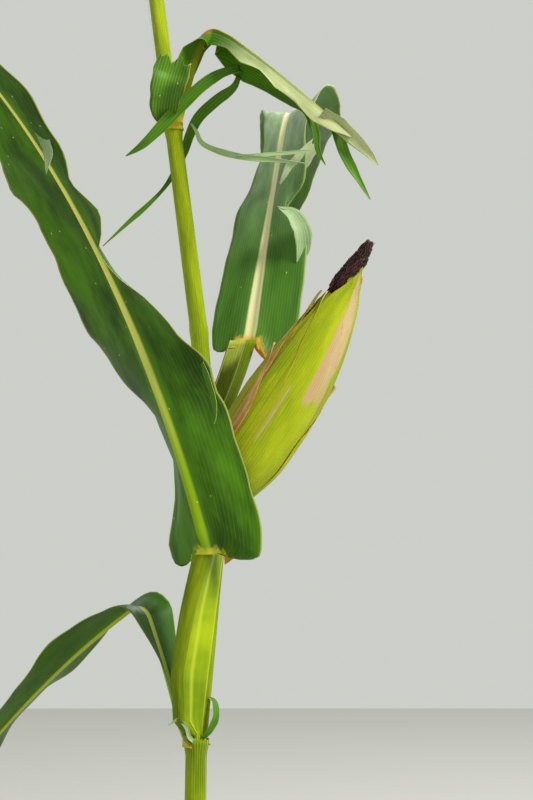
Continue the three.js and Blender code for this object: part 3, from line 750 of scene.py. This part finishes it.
def foldAt(leaf, t):
    opened = mix(mix(leaf["fold"], leaf["foldMid"], ramp(t, 0, 0.24)), leaf["foldTop"], ramp(t, 0.24, 0.48))
    return np.radians(mix(opened, blade["tipFold"], ramp(t, 0.55, 0.9)))


def waveAt(leaf, t, u):
    grown = ramp(t, 0.04, 0.2) * (1 - ramp(t, 0.7, 1))
    height = leaf["ripple"] * leaf["halfWidth"] * u * u * grown
    return height * np.sin(2 * np.pi * leaf["waves"] * t + leaf["phase"] + np.where(u > 0, 0, leaf["shift"]))


# small losses at the margins: side, place along the blade, span and depth
nicks = {
    1: [(1, 0.42, 0.012, 0.1), (-1, 0.7, 0.01, 0.14)],
    2: [(-1, 0.35, 0.01, 0.08), (1, 0.62, 0.014, 0.16)],
    3: [(1, 0.3, 0.008, 0.1), (-1, 0.52, 0.012, 0.12), (1, 0.8, 0.012, 0.2)],
    4: [(-1, 0.27, 0.01, 0.1), (1, 0.55, 0.012, 0.14)],
    7: [(-1, 0.185, 0.012, 0.55), (-1, 0.2, 0.012, 0.4)],
    9: [(1, 0.45, 0.012, 0.12), (-1, 0.74, 0.01, 0.15)],
}
# the two halves of a blade, plus and minus side, as places along it each followed by a value: the share of the
# rule's width, the turn added to the fold in degrees and the curl in mm; how far each half's foot hangs back below
# the collar in mm, and over what run that ends; the midrib's width and taper; how far the midrib stands off its
# rule, as (place, x, y, z) in mm
level = [0, 0, 1, 0]
plainEdge = [0, 0.62, 0.01, 0.84, 0.024, 1, 1, 1]
usualHalves = {"width": (plainEdge, plainEdge), "fold": (level, level), "curl": (level, level), "drop": (7, 7),
               "dropRun": (0.012, 0.075), "ribShare": 0.115, "ribTaper": 0.75,
               "stand": [(0, 0, 0, 0), (1, 0, 0, 0)]}
halves = {
    earLeaf: {
        "width": ([0, 0.44, 0.01, 0.7, 0.02, 0.86, 0.035, 0.96, 0.05, 0.98, 0.08, 0.92, 0.12, 0.88, 0.15, 0.86,
        0.17, 0.82, 0.2, 0.95, 0.22, 0.9, 0.245, 0.82, 0.27, 0.84, 0.3, 0.84, 0.32, 0.62, 0.35, 0.5, 0.365, 0.7,
        0.385, 0.86, 0.4, 0.7, 0.415, 0.45, 0.44, 0.5, 0.52, 0.5, 0.58, 0.7, 0.66, 1, 1, 1], [0, 0.46, 0.01, 0.74,
        0.02, 0.92, 0.035, 1.04, 0.05, 1.06, 0.08, 0.92, 0.12, 0.88, 0.16, 0.9, 0.185, 1.08, 0.21, 1.16, 0.24, 1.24,
        0.27, 1.2, 0.3, 1.1, 0.34, 1.0, 0.375, 0.94, 0.39, 1.04, 0.405, 1.26, 0.43, 1.15, 0.47, 1, 0.6, 1, 1, 1]),
        "fold": ([0, 0, 0.34, 0, 0.365, 8, 0.385, 14, 0.4, 14, 0.42, 8, 0.45, 15, 0.55, 20, 0.65, 0, 1, 0], [0, -30,
        0.045, -24, 0.075, 0, 0.1, 16, 0.14, 15, 0.17, 2, 0.2, 0, 0.235, 0, 0.33, -4, 0.36, -15, 0.4, -32, 0.45, -62,
        0.52, -66, 0.6, -40, 0.7, 0, 1, 0]), "curl": ([0, 0, 0.03, 2, 0.06, 12, 0.1, 15, 0.15, 12, 0.2, 5, 0.24, 0,
        1, 0], level), "drop": (37, 50), "dropRun": (0.02, 0.125), "ribShare": 0.15, "ribTaper": 0.42},
    looseLeaf: {
        "width": ([0, 0.44, 0.012, 0.72, 0.03, 1.06, 0.05, 1.14, 0.08, 1.14, 0.13, 1.04, 0.18, 0.9,
        0.23, 0.72, 0.29, 0.46, 0.4, 0.5, 0.55, 0.85, 0.7, 1, 1, 1], [0, 0.44, 0.012, 0.78, 0.03, 1.16, 0.05, 1.3,
        0.08, 1.3, 0.12, 1.18, 0.2, 0.95, 0.25, 0.8, 0.3, 0.8, 0.4, 1, 1, 1]), "fold": (level, [0, -30, 0.1, -34,
        0.22, -10, 0.32, 0, 1, 0]), "drop": (24, 34), "dropRun": (0.016, 0.1)},
    tornLeaf: {
        "width": ([0, 0.34, 0.05, 0.2, 0.12, 0.12, 0.24, 0.12, 0.31, 0.36, 0.4, 0.72, 0.5, 0.8, 0.6, 0.74,
        0.72, 0.78, 0.84, 0.56, 0.92, 0.34, 1, 0.05], [0, 0.42, 0.05, 0.5, 0.12, 0.62, 0.22, 0.6, 0.29, 0.46,
        0.35, 0.5, 0.42, 0.4, 0.5, 0.5, 0.58, 0.4, 0.67, 0.47, 0.76, 0.36, 0.86, 0.36, 0.94, 0.22, 1, 0.04]),
        "fold": ([0, 0, 0.24, 0, 0.33, -74, 0.6, -66, 1, -60], [0, 0, 0.24, 0, 0.33, -84, 0.6, -76, 1, -70]),
        "drop": (0, 0), "ribShare": 0.14, "stand": [(0, 0, 0, 0), (0.1, 0, 0, 4), (0.2, 1, 0, 12), (0.28, 3, 0, 19),
        (0.4, 9, 0, 20), (1, 15, 0, 16)]},
}


def alongTable(table, t):
    places, values = np.reshape(table, (-1, 2)).T
    return np.interp(t, places, values)


def bySide(tables, u, t):
    return np.where(u > 0, alongTable(tables[0], t), alongTable(tables[1], t))


def edgeAt(number, u, t):
    # how much of the half width is left, with small losses and a slightly uneven margin
    run = t * leaves[number]["length"]
    kept = 1 - 0.011 * (1 + ripple(run * 190, u * 0 + run * 105, number)) * ramp(t, 0.03, 0.08)
    for side, at, span, depth in nicks.get(number, []):
        kept = kept - depth * bump(t, at, span) * (np.sign(u) == side)
    return kept


def bladeRule(number):
    leaf = leaves[number]
    path = bladePath(number)
    centre, radius = wrapOf(number)
    half = {**usualHalves, **halves.get(number, {})}
    stand = np.array(half["stand"], float)
    spots = np.linspace(0, 1, blade["steps"] + 1)

    def rule(flatU, s, under):
        u = -np.sign(flatU) * np.abs(flatU) ** blade["bunchAcross"]
        t = s ** blade["bunchAlong"]
        run, out = t * leaf["length"], np.abs(u)
        x = u * (halfWidthAt(leaf, t) * bySide(half["width"], u, t)) * mix(1, edgeAt(number, u, t), ramp(out, 0.3, 1))
        ribHalf = mix(leaf["halfWidth"] * half["ribShare"], 0.0007, t ** half["ribTaper"])
        fold = foldAt(leaf, t) + np.radians(bySide(half["fold"], u, t)) * ramp(np.abs(x) / ribHalf, 0.2, 1.6)
        spread = np.sqrt(x * x + (0.5 * ribHalf) ** 2) - 0.5 * ribHalf
        grown = leaf["halfWidth"] * ramp(t, 0.05, 0.2) * (1 - ramp(t, 0.75, 1))
        lift = spread * np.sin(fold) + waveAt(leaf, t, u) + bySide(half["curl"], u, t) * mm * ramp(out, 0.25, 1)
        lift = lift + 0.045 * grown * ramp(out, 0.5, 1) * ripple(run * 100, u * 4 + run * 22, number + 5)
        lift = lift + 0.05 * grown * ramp(out, 0.15, 0.6) * ripple(run * 42, u * 2, number + 9)
        inRib = 1 - ramp(np.abs(x) / ribHalf, 0.1, 1.35)
        deep = (1 - under) * 0.28 * ribHalf * inRib + under * (blade["skin"] + 0.95 * ribHalf * inRib)
        across = x * np.cos(fold) + deep * np.sin(fold) * np.sign(x) * (1 - inRib)
        lift = lift - deep * mix(np.cos(fold), 1, inRib)
        place, side, up, along = (sampled(path[key], t, spots) for key in ("place", "side", "up", "along"))
        hang = np.where(u > 0, *half["drop"]) * mm * ramp(out, 0.3, 0.95) * (1 - ramp(run, *half["dropRun"]))
        opened = place + unit(side) * across[:, None] + unit(up) * lift[:, None] - unit(along) * hang[:, None]
        opened = opened + sampled(stand[:, 1:], t, stand[:, 0]) * mm
        share = ramp(t, 0, blade["wrapShare"])[:, None]
        outward = radius + np.where(under > 0, 0.0004, -0.0001) + 0.0016 * ramp(out, 0.75, 1)
        wrapped = centre + heading(leaf["seat"] + blade["wrapAngle"] * u, outward,
                                   t / blade["wrapShare"] * 0.01 - blade["sink"])
        places = np.where(share < 1, mix(wrapped, opened, share), opened)
        return places, mapsOf(x, run, np.abs(x) / ribHalf, np.abs(flatU) * (t > 0))
    return rule


def onBlade(number, u, t):
    # a place in the middle of a blade's thickness
    flatU = -math.copysign(abs(u) ** (1 / blade["bunchAcross"]), u)
    flatT = t ** (1 / blade["bunchAlong"])
    return bladeRule(number)(np.array([flatU]), np.array([flatT]), np.array([0.5]))[0][0]


kinds = {earLeaf: "earLeaf", looseLeaf: "looseLeaf", tornLeaf: "tornLeaf"}
for number in range(len(leaves)):
    mesh = thinSheet(f"blade{number + 1:02d}", blade["columns"], blade["rows"], bladeRule(number))
    kind = kinds.get(number, "leaf")
    finished(mesh, [kind + "Face", kind + "Under"], f"leaf_{number + 1:02d}")
print("blades made")

view = {"place": (0.059, -2.0, 1.18), "distance": 2.0, "photoHeight": 0.68, "sensor": 36,
        "middle": (266.5, 400), "pixel": 0.00085}

# strips, flaps and lobes at the leaves in view: the leaf; the route as (x, y, depth) in the picture's pixels and in
# mm, or as mm from a place on a blade; places along it, each followed by a width in mm; the turn in degrees at both
# ends; the look; and what is its own
ribbons = {
    "tornStrip1": ("leaf_09", [(240, 68, -27), (222, 73, -29), (204, 84, -30), (182, 105, -30), (160, 128, -28),
        (141, 146, -25), (126, 156, -22)], [0, 6, 0.2, 10, 0.6, 11, 0.85, 7, 1, 1], (20, -10), "tornStrip", {}),
    "tornStrip2": ("leaf_09", [(239, 76, -22), (234, 87, -21), (216, 101, -19), (199, 117, -14), (190, 134, -4),
        (184, 152, 12), (175, 171, 14), (165, 187, 9), (149, 204, 5), (130, 221, 3), (103, 246, 0)], [0, 4, 0.1, 9,
        0.3, 9, 0.5, 6, 0.66, 3, 0.8, 5, 1, 0.8], (-20, 30), "tornStrip", {}),
    "tornStrip3": ("leaf_09", [(190, 122, -9), (196, 131, -11), (201, 142, -12), (213, 149, -13), (238, 156, -14),
        (272, 160, -16), (304, 163, -17)], [0, 1.5, 0.12, 3.5, 0.35, 5.5, 0.7, 5, 1, 0.6], (0, 30), "paleStrip", {}),
    "tornStrip4": ("leaf_09", [(236, 155.5, -14.6), (258, 155, -15), (286, 153, -16), (319, 150, -17)], [0, 1.5,
        0.4, 3.5, 0.8, 3, 1, 0.5], (-15, 15), "paleStrip", {}),
    "tornStrip5": ("leaf_09", [(-12, 0, 10), (0, 0, 0), (14, -2, -13), (26, -3, -25), (33, -4, -34)], [0, 8, 0.3, 14,
        0.6, 11, 0.85, 6, 1, 1], (30, 10), "tornLeafFace", {"blade": (tornLeaf, -0.1, 0.93), "under": "tornStrip"}),
    "tornStrip6": ("leaf_09", [(-9, 0, 8), (0, 0, 0), (8, -3, -22), (20, -5, -44), (28, -6, -58)], [0, 6, 0.25, 10,
        0.6, 8, 1, 1], (20, -20), "tornStrip", {"blade": (tornLeaf, 0.7, 0.93)}),
    "tornStrip7": ("leaf_09", [(-6, 0, 6), (0, 0, 0), (6, -2, -14), (8, -4, -30), (14, -5, -42)], [0, 4, 0.3, 7,
        0.7, 5, 1, 0.8], (-10, 20), "tornStrip", {"blade": (tornLeaf, 0.95, 0.8)}),
    "collarCurl": ("leaf_06", [(199, 744, -8), (190, 738, -12), (186, 727, -14), (178, 720, -13), (169, 725, -11)],
        [0, 3, 0.3, 4, 0.8, 3, 1, 0.8], (20, -30), "paleStrip", {}),
    "earFlap": ("leaf_07", [(-10, -3, 22), (0, -3, 6), (6, -3, -10), (5, -2, -26)], [0, 2, 0.4, 9, 0.75, 8, 1, 1],
        (10, 30), "glaucousFlap", {"blade": (earLeaf, 0.45, 0.46), "ragged": 3.0}),
    "earSlit": ("leaf_07", [(-3, -2, 12), (3, -4, -4), (8, -4.5, -20), (11, -4, -36), (10, -2, -44)], [0, 1, 0.3, 5,
        0.7, 6, 1, 1], (30, 55), "tornStrip", {"blade": (earLeaf, 0.86, 0.2)}),
    "earCorner": ("leaf_07", [(221, 538, -19), (226, 545, -21), (231, 551, -20), (228, 558, -17), (225, 564, -14)],
        [0, 3, 0.3, 8, 0.6, 11, 0.8, 6, 1, 1.5], (0, 10), "collarCorner", {"cup": 0.1, "ragged": 2.0}),
    "collarEar": ("leaf_06", [(203, 738, -8), (211, 729, -10), (216, 715, -10), (214, 701, -7), (208, 697, -5)],
        [0, 4, 0.4, 8, 0.8, 7, 1, 2], (30, 60), "tornStrip", {}),
    "tornLobe": ("leaf_09", [(167, 124, -18), (164, 112, -30), (165, 97, -40), (169, 80, -44), (176, 58, -42)],
        [0, 10, 0.2, 21, 0.5, 27, 0.8, 31, 1, 27], (-8, 4), "tornLobe", {"cup": 0.22, "ragged": 6.0}),
    "looseFlap": ("leaf_08", [(0, 0.5, 0), (4, -1, 16), (2, -3, 31), (-6, -4, 42), (-17, -3, 47)], [0, 5, 0.3, 15,
        0.6, 19, 0.85, 12, 1, 2], (6, 46), "glaucousFlap", {"blade": (looseLeaf, -0.86, 0.118), "cup": 0.16,
        "ragged": 3.0}),
    "looseScrap": ("leaf_08", [(0, 1, 0), (9, -1, 12), (19, -2, 24), (30, -1, 37)], [0, 6, 0.35, 17, 0.7, 15, 1, 10],
        (10, 20), "dryTissue", {"blade": (looseLeaf, -0.3, 0.225), "ragged": 6.0}),
}


ribbonGrid = {"columns": 10, "rows": 70, "steps": 160}


def inPicture(x, y, depth):
    depth = depth * mm
    scale = view["pixel"] * (1 + depth / view["distance"])
    return np.array([view["place"][0] + (x - view["middle"][0]) * scale, depth,
                     view["place"][2] + (view["middle"][1] - y) * scale])


def ribbonRule(route, widths, twist, own, seed):
    if "blade" in own:
        start = onBlade(*own["blade"])
        route = [start + np.array(p) * mm for p in route]
    else:
        route = [inPicture(*p) for p in route]
    steps = ribbonGrid["steps"]
    path = curveThrough(route, steps)
    tangent = unit(np.gradient(path, axis=0))
    flat = unit(np.cross(tangent, [0, -1.0, 0]))
    rows = (path, tangent, flat, np.cross(tangent, flat))
    length = float(np.linalg.norm(np.diff(path, axis=0), axis=1).sum())

    def rule(u, t, under):
        at, ahead, level, face = (sampled(row, t * (steps - 1), np.arange(steps)) for row in rows)
        turn = np.radians(mix(*twist, t))
        side = level * np.cos(turn)[:, None] + face * np.sin(turn)[:, None]
        normal = unit(np.cross(ahead, side))
        half = 0.5 * mm * alongTable(widths, t) * (1 + 0.06 * ripple(t * 26, u * 2, seed))
        cup = own.get("cup", 0.12) * 2 * half * (1 - u * u) + 0.12 * half * ripple(t * 14, u, seed + 3)
        torn = own.get("ragged", 1.0) * mm * ramp(t, 0.86, 1) * ripple(u * 9, u * 17, seed + 5)
        places = at - side * (u * half)[:, None] + normal * (cup - 0.0002 + 0.0004 * under)[:, None] \
            + ahead * torn[:, None]
        return places, mapsOf(u * half, t * length + 0.12, 0 * u + 5,
                              np.maximum(np.abs(u), ramp(t, 0.97, 1)) * (t > 0))
    return rule


for k, (name, (node, route, widths, twist, look, own)) in enumerate(ribbons.items()):
    mesh = thinSheet(name, ribbonGrid["columns"], ribbonGrid["rows"], ribbonRule(route, widths, twist, own, k + 3))
    mesh.flip_normals()    # the rule lays a ribbon's two faces the other way round
    finished(mesh, [look, own.get("under", look)], node)
print("strips made")

# the ear
ear = {"base": np.array([0.004, -0.028, 1.081]), "tip": np.array([0.14, -0.05, 1.297]), "radius": 0.0315,
       "sag": 0.005, "columns": 96, "rows": 60, "huskColumns": 36, "huskRows": 70}
earAlong = unit(ear["tip"] - ear["base"])
earLength = float(np.linalg.norm(ear["tip"] - ear["base"]))
earFront = unit(np.array([0, -1.0, 0]) + earAlong * earAlong[1])
earSide = np.cross(earFront, earAlong)


def huskRadius(share):
    butt = 0.26 + 0.74 * np.sin(0.5 * np.pi * np.minimum(1, share / 0.3))
    tip = 1 - np.maximum(0, (share - 0.42) / 0.58) ** 1.9
    return ear["radius"] * butt * np.maximum(tip, 0.09)


def earPoint(share, angle, radius):
    share, angle, radius = (np.asarray(v, float)[..., None] for v in np.broadcast_arrays(share, angle, radius))
    sag = ear["sag"] * np.sin(np.pi * np.clip(share, 0, 1))
    return (ear["base"] + earAlong * share * earLength + earSide * (radius * np.cos(angle) - sag)
            + earFront * radius * np.sin(angle))


def huskCoreRule(angle, t):
    radius = huskRadius(t) - 0.0016 + 0.0002 * np.cos(34 * angle)
    return earPoint(t, angle, radius), mapsOf(angle * 0.028, t * earLength, 0.25 + 0.5 * ramp(t, 0.7, 1), 0 * t)


# the husks from the inside out: their middle's turn, half their spread, where they end, how far they stand off in
# mm, how far their tips lift in mm, how dry they are in the middle, at the edges and at the tip, and what is their
# own, with dried bands as (middle across, half width across, from, to)
huskColumns = ("turn", "spread", "to", "off", "tip", "dry", "edgeDry", "tipDry")
huskRows = [
    ((210, 88, 0.95, 0.0, 1, 0.0, 0.2, 0.4), {}),
    ((325, 84, 0.96, 0.3, 1, 0.0, 0.3, 0.4), {}),
    ((80, 80, 0.98, 0.5, 2, 0.0, 0.3, 0.3), {}),
    ((260, 66, 0.9, 0.9, 3, 0.05, 0.3, 0.6), {"bands": [(0.3, 0.3, 0.5, 0.95)]}),
    ((352, 52, 0.84, 1.1, 4, 0.05, 0.45, 0.3), {"look": "huskOld", "bands": [(0.5, 0.3, 0.1, 0.8)]}),
    ((44, 36, 0.85, 1.3, 5, -0.1, 0.25, 0.1), {}),
    ((112, 70, 0.975, 1.5, 1, -0.16, 0.1, 0.42),
     {"from": 0.82, "bands": [(0.38, 0.3, 0.44, 0.97), (0.5, 0.22, 0.6, 0.99), (0.1, 0.09, 0.44, 0.86),
                              (-0.34, 0.06, 0.24, 0.6), (-0.08, 0.035, 0.42, 0.7), (-0.58, 0.07, 0.05, 0.34)]}),
    ((24, 34, 0.62, 1.8, 5, 0.1, 0.75, 0.4),
     {"look": "huskOld", "bands": [(0.65, 0.25, 0.05, 0.6), (0.2, 0.06, 0.1, 0.5)]}),
    ((200, 46, 0.6, 1.9, 4, 0.0, 0.4, 0.7), {}),
]
husks = [{"look": "huskSkin", "from": 0.55, "bands": [], **dict(zip(huskColumns, row)), **own}
         for row, own in huskRows]


def huskRule(number):
    husk = husks[number]
    end, off = husk["to"], husk["off"] * mm

    def rule(u, t, under):
        share = end * t
        narrowed = (1 - ramp(t, husk["from"], 1.02) ** 1.3) * 0.96 + 0.04
        angle = np.radians(husk["turn"] + husk["spread"] * u * narrowed)
        lifted = 0.0008 * ramp(np.abs(u), 0.7, 1) * ramp(t, 0.2, 0.5) + husk["tip"] * mm * ramp(t, 0.84, 1) ** 2
        lifted = off + lifted + 0.0007 * ripple(t * 9, u * 3, number) + 0.0002 * np.cos(angle * 40)
        radius = huskRadius(np.minimum(share, 0.9 + 0 * share)) - 0.0008 + lifted
        radius = np.where(share > 0.9, np.minimum(radius, huskRadius(share) + lifted), radius) - 0.00045 * under
        dry = husk["dry"] + husk["edgeDry"] * ramp(np.abs(u), 0.6, 1) + husk["tipDry"] * ramp(t, 0.8, 1)
        for middle, half, low, high in husk["bands"]:
            dry = dry + 0.95 * bump(u, middle, half) * ramp(t, low / end, low / end + 0.12) \
                * (1 - ramp(t, high / end - 0.1, high / end))
        dry = dry + 0.2 * ripple(t * 7, u * 9, number + 20)
        across = husk["spread"] / 57.3 * u * (0.55 + 0.45 * narrowed) * 0.03    # the spread in radians, at 30 mm
        return earPoint(share, angle, radius), mapsOf(across, t * earLength, dry, np.abs(u))
    return rule


finished(roundBody("huskCore", ear["columns"], ear["rows"], huskCoreRule), ["huskSkin"], "ear_husks")
for k, husk in enumerate(husks):
    mesh = thinSheet(f"husk{k + 1}", ear["huskColumns"], ear["huskRows"], huskRule(k))
    finished(mesh, [husk["look"], "huskInner"], "ear_husks")

shankPath = []
for z in (0.902, 0.925, 0.95, 0.975, 1.0, 1.03, 1.052):
    reach, turn = pocketAt(z)
    shankPath.append(stalkCentre(z) + heading(turn, reach))
shankPath = curveThrough(shankPath + [ear["base"]], shank["steps"])


def shankRule(angle, t):
    tangent, side, front = railFrames(shankPath)
    steps = shank["steps"]
    at, s, f = (sampled(v, t * (steps - 1), np.arange(steps)) for v in (shankPath, side, front))
    ring = sum(bump(t, step, 0.02) for step in (0.25, 0.5, 0.75)) * 0.0004
    radius = shank["radius"] - 0.0003 + ring + 0.0001 * np.cos(18 * angle)
    places = at + s * (radius * np.cos(angle))[:, None] + f * (radius * np.sin(angle))[:, None]
    return places, mapsOf(angle * 0.0065, t * 0.18, 0 * t, 0 * t)


finished(roundBody("earShank", shank["columns"], shank["steps"], shankRule), ["stalkSkin"], "ear_shank")

silk = {"strands": 620, "low": 0.85, "high": 1.045, "angle": 28, "steps": 9, "tuft": 0.0062, "strand": 0.00036}


def drySilk():
    # a matted tuft that comes out of the tip and lies over its upper side
    routes, radii, looks = [], [], []
    for k in range(silk["strands"]):
        first = 0.75 * scatter(k + 0.5) ** 1.2
        last = min(1.05, first + 0.3 + 0.35 * scatter(k + 30))
        turn, away = 6.283 * scatter(k + 40), math.sqrt(scatter(k + 60))
        curl, bend = 2.6 * (scatter(k + 80) - 0.5), scatter(k + 90)
        route = []
        for step in np.linspace(0, 1, silk["steps"]):
            s = mix(first, last, step)
            share = mix(silk["low"], silk["high"], s)
            body = silk["tuft"] * (0.42 + 0.7 * math.sin(math.pi * min(1.0, 0.12 + 0.8 * s))) * away
            base = earPoint(share, math.radians(silk["angle"]), mix(0.0105, 0.0035, ramp(s, 0, 0.8)))
            around = turn + curl * step
            wild = 0.0011 * math.sin(step * (7 + 6 * bend) + k)
            route.append(base + earSide * (body * math.cos(around) + wild) + earFront * body * math.sin(around)
                         + earAlong * 0.0022 * math.sin(step * 6 + 2 * k) * away)
        routes.append(np.array(route))
        radii.append(silk["strand"] * np.linspace(1, 0.55, silk["steps"]))
        looks.append(int(3 * scatter(k + 100) ** 3.2))
    return roundStrands("drySilk", routes, radii, 4, looks)


finished(drySilk(), ["drySilk", "redSilk", "tanSilk"], "ear_silk")
print("ear made")

# the tassel
tassel = {"branches": 11, "spike": 0.235, "branchLength": 0.19, "gap": 0.0042, "spikeSteps": 60, "branchSteps": 48}


def tasselRoutes():
    foot = stalkCentre(stalk["tip"]) + [0, 0, sheath["clearance"]]
    spike = curveThrough([foot + [-0.01 * s * s, -0.006 * s, tassel["spike"] * s] for s in (0, 0.4, 0.75, 1)],
                         tassel["spikeSteps"])
    routes = [spike]
    for k in range(tassel["branches"]):
        turn, height = 137.5 * k + 20, 0.014 + 0.0075 * k
        length = tassel["branchLength"] * (1 - 0.035 * k) * (0.85 + 0.3 * scatter(k + 7))
        wide = 0.42 + 0.25 * scatter(k + 21)
        start = spike[int(round((tassel["spikeSteps"] - 1) * height / tassel["spike"]))]
        routes.append(curveThrough([
            start + heading(turn, length * s * wide * (1 + 0.5 * s), length * s * (0.86 - 0.42 * s))
            for s in (0, 0.3, 0.65, 1)], tassel["branchSteps"]))
    return routes


def spikelets(routes):
    # paired spikelets on both sides of every branch, from one small pointed body
    bm = bmesh.new()
    bmesh.ops.create_uvsphere(bm, u_segments=6, v_segments=5, radius=1)
    bm.verts.index_update()
    body = np.array([v.co for v in bm.verts])
    body[:, :2] *= (1 - 0.35 * body[:, 2:3])
    corners = [tuple(v.index for v in face.verts)[::-1] for face in bm.faces]
    bm.free()
    spots, faces, indexes = [], [], []
    for r, route in enumerate(routes):
        tangent, side, front = railFrames(route)
        run = runAlong(route)
        place = 0.018 if r else 0.03
        k = 0
        while place < run[-1] - 0.002:
            at = np.interp(place, run, np.arange(len(route)))
            low = min(int(at), len(route) - 2)
            centre = mix(route[low], route[low + 1], at - low)
            turn = 2.4 * k + scatter(k + 31 * r)
            out = side[low] * math.cos(turn) + front[low] * math.sin(turn)
            seed = k + 57 * r
            axis = unit(tangent[low] + out * (0.45 + 0.4 * scatter(seed)))
            wide = unit(np.cross(axis, out))
            thick = np.cross(wide, axis)
            size = np.array([0.0013, 0.001, 0.0046]) * (0.85 + 0.3 * scatter(seed + 0.3))
            middle = centre + out * 0.0016 + axis * size[2] * 0.8
            base = len(body) * len(spots)
            spots.append(middle + body[:, :1] * size[0] * wide + body[:, 1:2] * size[1] * thick
                         + body[:, 2:3] * size[2] * axis)
            faces += [tuple(c + base for c in corner) for corner in corners]
            indexes += [int(3 * scatter(seed + 0.7) ** 1.6)] * len(corners)
            place += tassel["gap"] * (0.8 + 0.4 * scatter(seed + 0.9)) / (2 if r == 0 else 1.5)
            k += 1
    return meshFrom("tasselSpikelets", spots, faces, indexes)


routes = tasselRoutes()
branchRadii = np.linspace(0.0012, 0.0006, tassel["branchSteps"])
stemRadii = [np.linspace(0.0026, 0.0009, tassel["spikeSteps"])] + [branchRadii] * tassel["branches"]
finished(roundStrands("tasselStems", routes, stemRadii, 8), ["tasselStem"], "tassel")
finished(spikelets(routes), ["strawSpikelet", "greenSpikelet", "dryAnther"], "tassel")
print("tassel made")

# stage, light and camera
stage = {"floor": 7.0, "key": 640, "fill": 36, "back": 160, "sky": 0.62}
floor = linked("floor", meshOf("floor", flatGrid(1, 1, stage["floor"])))
newMaterial("paleFloor", 0.9).inputs["Base Color"].default_value = (0.5, 0.5, 0.48, 1)
floor.data.materials.append(bpy.data.materials["paleFloor"])

world = bpy.data.worlds.new("studio")
bpy.context.scene.world = world
world.use_nodes = True
sky = world.node_tree.nodes["Background"].inputs
sky[0].default_value = (0.98, 1.0, 0.94, 1)
sky[1].default_value = stage["sky"]


def softLight(name, place, target, size, power, colour):
    data = bpy.data.lights.new(name, "AREA")
    data.shape, data.size, data.energy, data.color = "DISK", size, power, colour
    light = linked(name, data)
    light.location = place
    light.rotation_euler = (Vector(target) - Vector(place)).to_track_quat("-Z", "Y").to_euler()


softLight("keyLight", (4.6, -3.0, 5.4), (0, 0, 1.25), 2.0, stage["key"], (1.0, 0.98, 0.94))
softLight("fillLight", (-4.6, -3.2, 2.6), (0, 0, 1.2), 3.2, stage["fill"], (1.0, 1.0, 0.96))
softLight("backLight", (1.8, 5.0, 4.7), (0, 0, 1.3), 2.6, stage["back"], (1.0, 1.0, 0.95))

cameraData = bpy.data.cameras.new("camera")
cameraData.sensor_width = view["sensor"]
cameraData.lens = view["sensor"] * view["distance"] / view["photoHeight"]
camera = linked("camera", cameraData)
camera.location = view["place"]
camera.rotation_euler = (math.radians(90), 0, 0)
bpy.context.scene.camera = camera
bpy.context.scene.view_settings.view_transform = "Standard"
